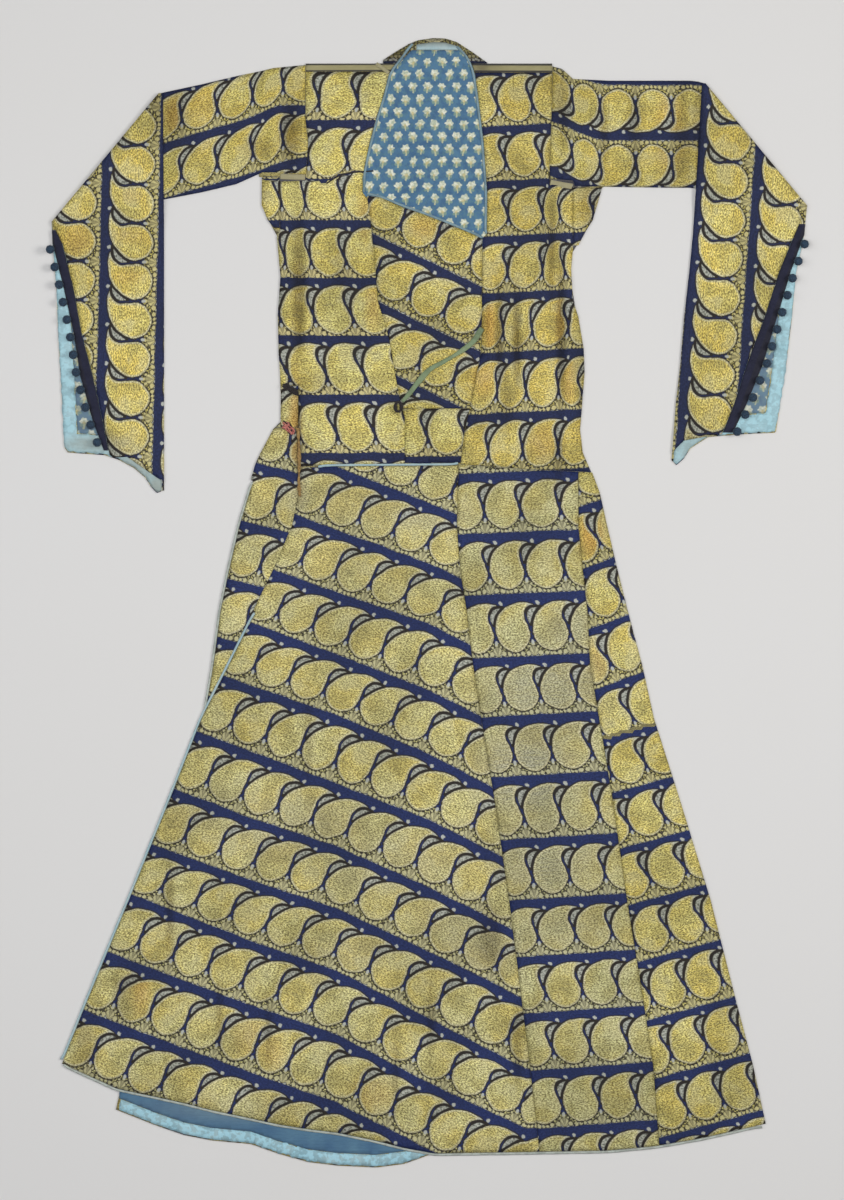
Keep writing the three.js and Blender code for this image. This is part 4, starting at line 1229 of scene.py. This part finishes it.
# ---- Operators -----------------------------------------------------------------------------------
class CaftanSettings(bpy.types.PropertyGroup):
    """What a user would change."""

    brocade_thickness: bpy.props.FloatProperty(
        name="Brocade", description="Thickness of the brocade with its backing",
        default=1.1 * MM, min=0.4 * MM, max=3 * MM, subtype="DISTANCE", unit="LENGTH")
    lining_thickness: bpy.props.FloatProperty(
        name="Lining", description="Thickness of the linings and facings",
        default=0.9 * MM, min=0.3 * MM, max=2 * MM, subtype="DISTANCE", unit="LENGTH")
    cloth_step: bpy.props.FloatProperty(
        name="Mesh step", description="Distance between the points of a cloth mesh",
        default=4 * MM, min=2 * MM, max=12 * MM, subtype="DISTANCE", unit="LENGTH")
    piping_radius: bpy.props.FloatProperty(
        name="Piping", description="Half the width of the corded edges",
        default=1.35 * MM, min=0.5 * MM, max=3 * MM, subtype="DISTANCE", unit="LENGTH")
    camera_distance: bpy.props.FloatProperty(
        name="Camera distance", description="Height of the camera over the garment",
        default=5.0, min=2, max=20, subtype="DISTANCE", unit="LENGTH")
    picture_height: bpy.props.FloatProperty(
        name="Picture height", description="Height of the floor that the camera takes in",
        default=1.332, min=1.2, max=3, subtype="DISTANCE", unit="LENGTH")
    floor_colour: bpy.props.FloatVectorProperty(
        name="Floor", description="Colour of the plain floor, as it shows on a screen", size=3,
        default=(217 / 255, 215 / 255, 212 / 255), min=0, max=1, subtype="COLOR_GAMMA")


def settings():
    """What the panel sets."""
    return bpy.context.scene.caftan


def sizes():
    """The brocade's and the lining's thickness and the mesh step, in millimetres."""
    s = settings()
    return s.brocade_thickness / MM, s.lining_thickness / MM, s.cloth_step / MM


PANELS = {
    # name: rows of the weave, finish, slot
    "back_bodice": ("back_top", "back", "brocade_back"),
    "back_skirt": ("back_skirt", "back", "brocade_back"),
    "collar_band": ("collar", "collar", "brocade"),
    "back_neck_lining": ("plain", "print", "printed_lining"),
    "collar_facing": ("plain", "neck_silk", "light_silk"),
    "back_skirt_lining": ("plain", "blue", "blue_lining"),
    "back_hem_facing": ("plain", "hem_silk", "light_silk"),
    "front_right_bodice": (rows_right_bodice, "bodice", "brocade"),
    "skirt_right_under": (rows_under, "gore", "brocade"),
    "gusset_right": (rows_right_bodice, "bodice", "brocade"),
    "shoulder_strip_right": (along_strip, "khaki", "khaki_silk"),
    "front_left_bodice": (rows_left_bodice, "left_bodice", "brocade"),
    "overlap_upper": ("wedge", "wedge", "brocade"),
    "overlap_lower": ("patch", "bodice", "brocade"),
    "skirt_left_overlap": (rows_gore, "gore", "brocade"),
    "skirt_left_panel": (rows_panel, "panel", "brocade"),
    "skirt_left_gore": (rows_outer, "outer", "brocade"),
    "gusset_left": (rows_left_bodice, "left_bodice", "brocade"),
    "shoulder_strip_left": (along_strip, "khaki", "khaki_silk"),
}


def rows_for(name):
    """The function that gives a panel its rows and columns."""
    rows = PANELS[name][0]
    return rows if callable(rows) else lambda points: woven(rows, points)


def lay_panels(names, thickness, where=None, **options):
    """Panels side by side in one ply, each a sheet of cloth that stands for its node."""
    step = sizes()[2]
    rims = [outline(name) for name in names]
    for name, rim in zip(names, rims):
        _, finish, slot = PANELS[name]
        piece = cloth("cloth_" + name, rim, rows_for(name), MATERIALS[finish], thickness, step,
                      where, **options)
        finish_piece(piece, [name])
        declare_cut(piece, rim)
    return rims


def sleeve_rims(name):
    """A sleeve's walls as they lie: upper arm, lower arm's under wall, and its top wall."""
    rims = outlines(name)
    top = max(rims, key=lambda r: r[:, 2].mean())
    rest = [r for r in rims if r is not top]
    under = min(rest, key=lambda r: r[:, 1].min())
    arm = max((r for r in rest if r is not under), key=lambda r: r[:, 2].mean())
    return arm[:, :2], under[:, :2], top[:, :2]


# Each sleeve's rims and its walls so far, and the width of the slit's braid, in metres.
SLEEVE_PARTS = {side: {"pieces": []} for side in SIDES}
BRAID_WIDTH = 0.0105


def lay_sleeve(side, part, where, roll=2.2, rows=None, finish="sleeve"):
    """One wall of a sleeve, its edges rolled over towards the wall that it turns into."""
    brocade_thickness, _, step = sizes()
    rim = SLEEVE_PARTS[side]["rims"][part]
    along = (lambda p: woven(rows, p)) if rows else (lambda p: rows_arm(side, p))
    piece = cloth(f"sleeve_{side}_{part}", rim, along, MATERIALS[finish],
                  brocade_thickness, step, where, roll=roll, dip=0.0)
    SLEEVE_PARTS[side]["pieces"].append(piece)
    return rim


# How far a piping's middle is over what it lies on, and its height over its width.
PIPING_RISE = 0.15
PIPING_FLAT = 0.85


def lay_piping(nodes, finish):
    """Soft cords along the middle of their strips, resting on what lies so far.

    Two waves along each swell and thin it.
    """
    radius = settings().piping_radius / MM
    for node in nodes:
        line = middle_line(outline(node))
        z = bridged(np.maximum(sample(LIE.top, line) + PIPING_RISE, radius), 4)
        step = np.arange(len(line))
        swell = 1 + 0.06 * np.sin(step * 1.7) + 0.05 * np.sin(step * 0.61)
        piece = tube("cord_" + node, line, z, (radius * swell, radius * PIPING_FLAT * swell),
                     MATERIALS[finish])
        finish_piece(piece, [node])


# The floor's half width and its depth under the cloth, in millimetres; what the camera stands over,
# and the height of the cloth that its distance is measured from, in metres.
FLOOR_HALF = 6000
FLOOR_UNDER = 0.4
CAMERA_OVER = (-0.00602, 0.00297)
CLOTH_HEIGHT = 0.004
SENSOR = 36


class CAFTAN_OT_stage(bpy.types.Operator):
    """Plain floor, soft studio light and a camera straight above"""

    bl_idname = "caftan.stage"
    bl_label = "Stage"

    def execute(self, context):
        s = settings()
        f = Finish("floor_paper", roughness=0.9)
        x, y, _ = f.place()
        colour = [255 * c for c in s.floor_colour]
        cooler = [c + more for c, more in zip(colour, (2, 3, 5))]
        f.paint(f.mix(f.noise(x, y, 420, 2.0), colour, cooler))
        corners = [(FLOOR_HALF * i, FLOOR_HALF * j, -FLOOR_UNDER)
                   for i, j in ((-1, -1), (1, -1), (1, 1), (-1, 1))]
        floor = make_object("floor", corners, [[0, 1, 2, 3]], f.material, smooth=False)
        camera = bpy.data.cameras.new("camera")
        camera.type = "PERSP"
        camera.sensor_fit = "AUTO"
        camera.sensor_width = SENSOR
        camera.lens = SENSOR * s.camera_distance / s.picture_height
        camera.clip_end = 50
        stand = bpy.data.objects.new("camera", camera)
        stand.location = (*CAMERA_OVER, s.camera_distance + CLOTH_HEIGHT)
        context.scene.collection.objects.link(stand)
        context.scene.camera = stand
        for name, place, size, power, tint in (
            # metres, watts
            ("key", (2.6, 0.5, 2.7), 1.3, 55, (1.0, 0.985, 0.96)),
            ("fill", (-2.4, 0.5, 2.8), 2.4, 27, (0.96, 0.98, 1.0)),
            ("top", (-0.2, 0.2, 2.6), 1.4, 28, (1.0, 1.0, 1.0)),
        ):
            light = bpy.data.lights.new(name, "AREA")
            light.shape = "SQUARE"
            light.size = size
            light.energy = power
            light.color = tint
            lamp = bpy.data.objects.new(name, light)
            lamp.location = place
            lamp.rotation_euler = (-Vector(place)).to_track_quat("-Z", "Y").to_euler()
            context.scene.collection.objects.link(lamp)
        world = bpy.data.worlds.new("room")
        world.use_nodes = True
        world.node_tree.nodes["Background"].inputs[0].default_value = (0.93, 0.95, 1.0, 1)
        world.node_tree.nodes["Background"].inputs[1].default_value = 0.25
        context.scene.world = world
        context.scene.view_settings.view_transform = "Standard"
        return {"FINISHED"}


# The gussets' own turned-in edges, seen only in the slits between a gusset and its sleeve.
TURNINGS = {
    "right": [(-187, 486), (-187, 473), (-128, 466), (-128, 486)],
    "left": [(126, 480), (126, 458), (193, 459.5), (196, 462), (196, 474)],
}


class CAFTAN_OT_back(bpy.types.Operator):
    """Back bodice, back skirt, collar and the backs of the sleeves"""

    bl_idname = "caftan.back"
    bl_label = "Back"

    def execute(self, context):
        brocade_thickness, lining, _ = sizes()
        for side, rim in TURNINGS.items():
            rim = np.array(rim, float)
            piece = cloth(f"gusset_turning_{side}", rim, rows_left_bodice, MATERIALS["back"], lining, 4.0)
            finish_piece(piece, [])
            declare_cut(piece, rim)
        rims = lay_panels(["back_bodice", "back_skirt", "collar_band"], brocade_thickness)
        for side in SIDES:
            front, under, top = sleeve_rims(f"sleeve_{side}")
            SLEEVE_PARTS[side]["rims"] = {"front": front, "back": front, "under": under, "top": top}
            rims.append(lay_sleeve(side, "back", None, roll=0))
        raise_lie(rims, brocade_thickness)
        return {"FINISHED"}


class CAFTAN_OT_linings(bpy.types.Operator):
    """Linings and facings seen in the neck and below the front hem"""

    bl_idname = "caftan.linings"
    bl_label = "Linings"

    def execute(self, context):
        lining = sizes()[1]
        LIE.settle()
        names = ["back_neck_lining", "collar_facing", "back_skirt_lining"]
        rims = lay_panels(names, lining)
        rims += lay_panels(["back_hem_facing"], lining, fray=0.9)
        raise_lie(rims, lining)
        return {"FINISHED"}


class CAFTAN_OT_right_front(bpy.types.Operator):
    """The under front, the skirt under the overlap, and the front of the right sleeve"""

    bl_idname = "caftan.right_front"
    bl_label = "Right front"

    def execute(self, context):
        brocade_thickness = sizes()[0]
        LIE.settle()
        names = ["front_right_bodice", "skirt_right_under", "gusset_right", "shoulder_strip_right"]
        rims = lay_panels(names, brocade_thickness, "right_front")
        rims.append(lay_sleeve("right", "front", "right_front"))
        raise_lie(rims, brocade_thickness, "right_front")
        lay_piping(["neck_piping_right"], "collar_silk")
        lay_piping(["skirt_under_piping"], "worn_silk")
        return {"FINISHED"}


class CAFTAN_OT_left_front(bpy.types.Operator):
    """The over front with its overlap and skirt, and the front of the left sleeve"""

    bl_idname = "caftan.left_front"
    bl_label = "Left front"

    def execute(self, context):
        brocade_thickness = sizes()[0]
        LIE.settle()
        names = ["front_left_bodice", "overlap_upper", "overlap_lower", "skirt_left_overlap",
                 "skirt_left_panel", "skirt_left_gore", "gusset_left", "shoulder_strip_left"]
        rims = lay_panels(names, brocade_thickness, "left_front")
        rims.append(lay_sleeve("left", "front", "right_front"))
        raise_lie(rims, brocade_thickness, "left_front")
        lay_piping(["neck_piping_left", "overlap_neck_piping"], "collar_silk")
        lay_piping(["waist_piping", "skirt_overlap_piping"], "neck_silk")
        lay_piping(["hem_piping"], "worn_silk")
        return {"FINISHED"}


class CAFTAN_OT_sleeves(bpy.types.Operator):
    """The lower arms, folded down: their walls, wrist linings, facings and slit bands"""

    bl_idname = "caftan.sleeves"
    bl_label = "Sleeves"

    def execute(self, context):
        brocade_thickness, lining, step = sizes()
        LIE.settle()
        rims = [lay_sleeve(side, "under", None, rows=f"{side}_wrist", finish="wrist")
                for side in SIDES]
        raise_lie(rims, brocade_thickness)
        LIE.settle()
        rims = []
        for side in SIDES:
            for kind, finish, slot, fray in (("sleeve_lining", "wrist_print", "printed_lining", 0.0),
                                             ("cuff_facing", "cuff_silk", "light_silk", 0.5)):
                node = f"{kind}_{side}"
                rim = outline(node)
                piece = cloth("cloth_" + node, rim, lambda p: woven("plain", p), MATERIALS[finish],
                              lining, step * 0.75, fray=fray)
                finish_piece(piece, [node])
                declare_cut(piece, rim)
                rims.append(rim)
        raise_lie(rims, lining)
        LIE.settle()
        rims = []
        for side in SIDES:
            rims.append(lay_sleeve(side, "top", "wrist", rows=f"{side}_wrist", finish="wrist"))
            node = f"slit_band_{side}"
            rim = outline(node)
            piece = cloth("cloth_" + node, rim, along_strip, MATERIALS["braid"],
                          brocade_thickness, 2.5, roll=1.5, lift=0.25, dip=0.1)
            finish_piece(piece, [node])
            declare_cut(piece, rim, width=BRAID_WIDTH)
            rims.append(rim)
        raise_lie(rims, brocade_thickness, "wrist")
        for side in SIDES:
            parts = SLEEVE_PARTS[side]["pieces"]
            rims = SLEEVE_PARTS[side]["rims"]
            area = sum(cut_area(rim) for rim in rims.values())
            piece = finish_piece(join(f"cloth_sleeve_{side}", parts), [f"sleeve_{side}"])
        return {"FINISHED"}


BUTTON_RADIUS = 5.0
BUTTON_POLES = ((0, 0, 4.3), (0, 0, -4.5))


class CAFTAN_OT_buttons(bpy.types.Operator):
    """Woven thread balls along each wrist slit, crossed by two families of turning grooves"""

    bl_idname = "caftan.buttons"
    bl_label = "Buttons"

    def execute(self, context):
        around, rings = 28, 15
        phi = 2 * np.pi * np.arange(around) / around
        theta = np.pi * np.arange(1, rings + 1) / (rings + 1)
        p, t = np.meshgrid(phi, theta)
        weave = np.abs(np.sin(4 * p + 3.2 * t)) * np.abs(np.sin(4 * p - 3.2 * t))
        r = BUTTON_RADIUS * (0.9 + 0.12 * weave**0.5)
        out = r * np.sin(t)
        ball = np.stack([out * np.cos(p), out * np.sin(p), 0.94 * r * np.cos(t)], axis=2)
        ball = np.vstack([ball.reshape(-1, 3), BUTTON_POLES])
        faces = capped_faces(rings, around)
        for side in SIDES:
            names = sorted(n for n in NODES if n.startswith(f"button_{side}"))
            points, polys = [], []
            for count, name in enumerate(names):
                low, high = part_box(name)
                centre = np.array((low + high) / 2) / MM
                spin = 1.9 * count
                c, s = math.cos(spin), math.sin(spin)
                turned = ball @ np.array([[c, s, 0], [-s, c, 0], [0, 0, 1]])
                polys += [[v + len(ball) * count for v in face] for face in faces]
                points.append(turned + centre)
            piece = turn_out(make_object(f"buttons_{side}", np.vstack(points), polys, MATERIALS["button"]))
            finish_piece(piece, names)
        return {"FINISHED"}


# The way the ribbon lies and how far the part was moved to its middle, in metres.
RIBBON_ROUTE = [(0.060, 0.304), (0.050, 0.289), (0.036, 0.278), (0.018, 0.267), (0.002, 0.258),
                (-0.010, 0.245), (-0.021, 0.231), (-0.0285, 0.2225)]
PART_SHIFT = (0.000637, 0.00075)
# How far the middles of the ribbon and the loop are over the cloth, the loop's half width and length,
# and its thread's radius, in millimetres.
TIE_RISE = 0.9
LOOP_SIZE = (3.4, 5.2)
LOOP_RADIUS = 1.7


def smooth_route(points, count):
    """A curve through the points, each stretch bent to run on from the one before it."""
    p = np.asarray(points, float)
    p = np.vstack([2 * p[0] - p[1], p, 2 * p[-1] - p[-2]])
    t = np.linspace(0, len(points) - 1, count)
    i = np.minimum(t.astype(int), len(points) - 2)
    s = (t - i)[:, None]
    a, b, c, d = p[i], p[i + 1], p[i + 2], p[i + 3]
    square, cube = 2 * a - 5 * b + 4 * c - d, 3 * b - a - 3 * c + d
    return 0.5 * (2 * b + (c - a) * s + square * s**2 + cube * s**3)


class CAFTAN_OT_tie(bpy.types.Operator):
    """The green ribbon and the dark thread loop that it reaches"""

    bl_idname = "caftan.tie"
    bl_label = "Tie"

    def execute(self, context):
        route = (smooth_route(RIBBON_ROUTE, 60) + np.array(PART_SHIFT)) / MM
        z = bridged(sample(LIE.top, route) + TIE_RISE, 8)
        t = np.linspace(0, 1, len(route))
        z = z + 0.5 * np.sin(np.pi * t) + 0.35 * np.sin(9 * t) ** 2
        half = 3.0 * (0.88 + 0.16 * np.sin(11 * t + 0.4) + 0.07 * np.sin(31 * t))
        ribbon = tube("ribbon", route, z, (half, 0.6 + 0.2 * np.sin(17 * t) ** 2), MATERIALS["ribbon"],
                      sides=16)
        finish_piece(ribbon, ["tie_ribbon"])
        low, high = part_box("tie_loop")
        middle = np.array((low + high) / 2) / MM
        rings, sides = 48, 10
        turns = (2 * np.pi * np.arange(rings) / rings)[:, None]
        angle = 2 * np.pi * np.arange(sides) / sides
        out = np.hstack([np.cos(turns), np.sin(turns)])
        ring = middle[:2] + out * LOOP_SIZE
        thick = LOOP_RADIUS * (1 + 0.12 * np.cos(3 * (angle + 6 * turns)) + 0.2 * np.sin(2 * turns + 1))
        bed = max(float(sample(LIE.top, ring).max()) + TIE_RISE, middle[2])
        xy = ring[:, None] + out[:, None] * (thick * np.cos(angle))[..., None]
        loop_z = bed + thick * np.sin(angle) + 0.3 * np.sin(2 * turns)
        points = np.concatenate([xy, loop_z[..., None]], axis=2).reshape(-1, 3)
        faces = ring_faces(rings, sides, closed=True)
        loop = turn_out(make_object("thread_loop", points, faces.tolist(), MATERIALS["dark"]))
        finish_piece(loop, ["tie_loop"])
        return {"FINISHED"}


def knot(name, start, end, across, material, seed, strands, radius):
    """A small tangle: strands that wander to and fro about a short line, joined as one piece.

    Each goes along it by a wave, and across it by two waves of its own in each direction.
    """
    rng = np.random.default_rng(seed)
    start, run = np.array(start, float), np.subtract(end, start)
    parts = []
    for k in range(strands):
        t = np.linspace(0, 1, 26)
        turn = rng.uniform(0, 6.28, 4)
        along = 0.5 + 0.5 * np.sin(6.3 * t * rng.uniform(0.4, 0.9) + turn[0])
        px = 0.7 * np.sin(8 * t + turn[1]) + 0.3 * np.sin(15 * t + turn[2])
        py = 0.7 * np.cos(7 * t + turn[3]) + 0.3 * np.sin(13 * t + turn[1])
        route = start + along[:, None] * run + across * np.column_stack([px, py])
        z = sample(LIE.top, route) + 0.5 + 0.9 * np.abs(np.sin(7 * t + k)) + 0.15 * k
        parts.append(tube(f"{name}_{k}", route, z, (radius, radius), material, sides=6))
    return join(name, parts)


# How far the middles of a sewn edge and of a sewn strip are over the cloth, and the worn edge's line.
SEWN_RISE = 0.05
STRIP_RISE = 0.35
WORN_EDGE = [(-144.2, 194), (-143, 180), (-142.4, 156), (-142.6, 132), (-141.5, 118)]


class CAFTAN_OT_details(bpy.types.Operator):
    """Thread knots at the waist, underarm strips, the tuck's edge and the worn edge"""

    bl_idname = "caftan.details"
    bl_label = "Sewn details"

    def execute(self, context):
        for name, start, end, across, thread, seed, strands, radius in (
            ("knot_black", (-158, 241), (-145, 232.5), 2.8, "dark", 3, 12, 0.9),
            ("knot_pink", (-158, 197), (-151, 190), 3.8, "pink", 5, 9, 0.6),
            ("knot_brown", (-157, 199), (-149, 188), 3.6, "dark", 8, 4, 0.5),
        ):
            piece = knot(name, start, end, across, MATERIALS[thread], seed, strands, radius)
            finish_piece(piece, [])
        tuck = smooth_route(TUCK[:4], 40)
        piece = tube("tuck_edge", tuck, sample(LIE.top, tuck) + SEWN_RISE, (0.8, 0.5),
                     MATERIALS["dark"], sides=6)
        finish_piece(piece, [])
        worn = smooth_route(WORN_EDGE, 60)
        t = np.linspace(0, 1, 60)
        piece = tube("worn_edge", worn, sample(LIE.top, worn) + SEWN_RISE,
                     (1.7 + 0.5 * np.sin(17 * t) + 0.3 * np.sin(47 * t), 0.6), MATERIALS["worn_edge"])
        finish_piece(piece, [])
        for name, line, wide in (
            ("underarm_strip_right", [(-163.5, 473.3), (-150, 472.8), (-136, 472.4)], 3.1),
            ("underarm_strip_left", [(136.5, 466.8), (150, 464), (161.5, 462)], 3.2),
            ("neck_strip_right", [(-57, 598.5), (-50, 593.5), (-43, 588)], 2.1),
        ):
            route = smooth_route(line, 24)
            z = sample(LIE.top, route) + STRIP_RISE
            piece = tube(name, route, z, (wide, 0.55), MATERIALS["underarm"], sides=10)
            finish_piece(piece, [])
        return {"FINISHED"}


OPERATORS = (CAFTAN_OT_stage, CAFTAN_OT_back, CAFTAN_OT_linings, CAFTAN_OT_right_front,
             CAFTAN_OT_left_front, CAFTAN_OT_sleeves, CAFTAN_OT_buttons, CAFTAN_OT_tie, CAFTAN_OT_details)


class CAFTAN_PT_panel(bpy.types.Panel):
    """The caftan's settings and its pieces, in the order they are laid"""

    bl_idname = "CAFTAN_PT_panel"
    bl_label = "Caftan"
    bl_space_type = "VIEW_3D"
    bl_region_type = "UI"
    bl_category = "Caftan"

    def draw(self, context):
        for name in CaftanSettings.__annotations__:
            self.layout.prop(context.scene.caftan, name)
        for operator in OPERATORS:
            self.layout.operator(operator.bl_idname)


CLASSES = (CaftanSettings, *OPERATORS, CAFTAN_PT_panel)


def register():
    """Makes the classes known and hangs the settings on the scene."""
    for cls in CLASSES:
        bpy.utils.register_class(cls)
    bpy.types.Scene.caftan = bpy.props.PointerProperty(type=CaftanSettings)


def unregister():
    """Takes them off again, the last first."""
    del bpy.types.Scene.caftan
    for cls in reversed(CLASSES):
        bpy.utils.unregister_class(cls)


def main():
    """Makes every piece in the order it is laid."""
    register()
    make_materials()
    for operator in OPERATORS:
        group, name = operator.bl_idname.split(".")
        getattr(getattr(bpy.ops, group), name)()


if __name__ == "__main__":
    main()
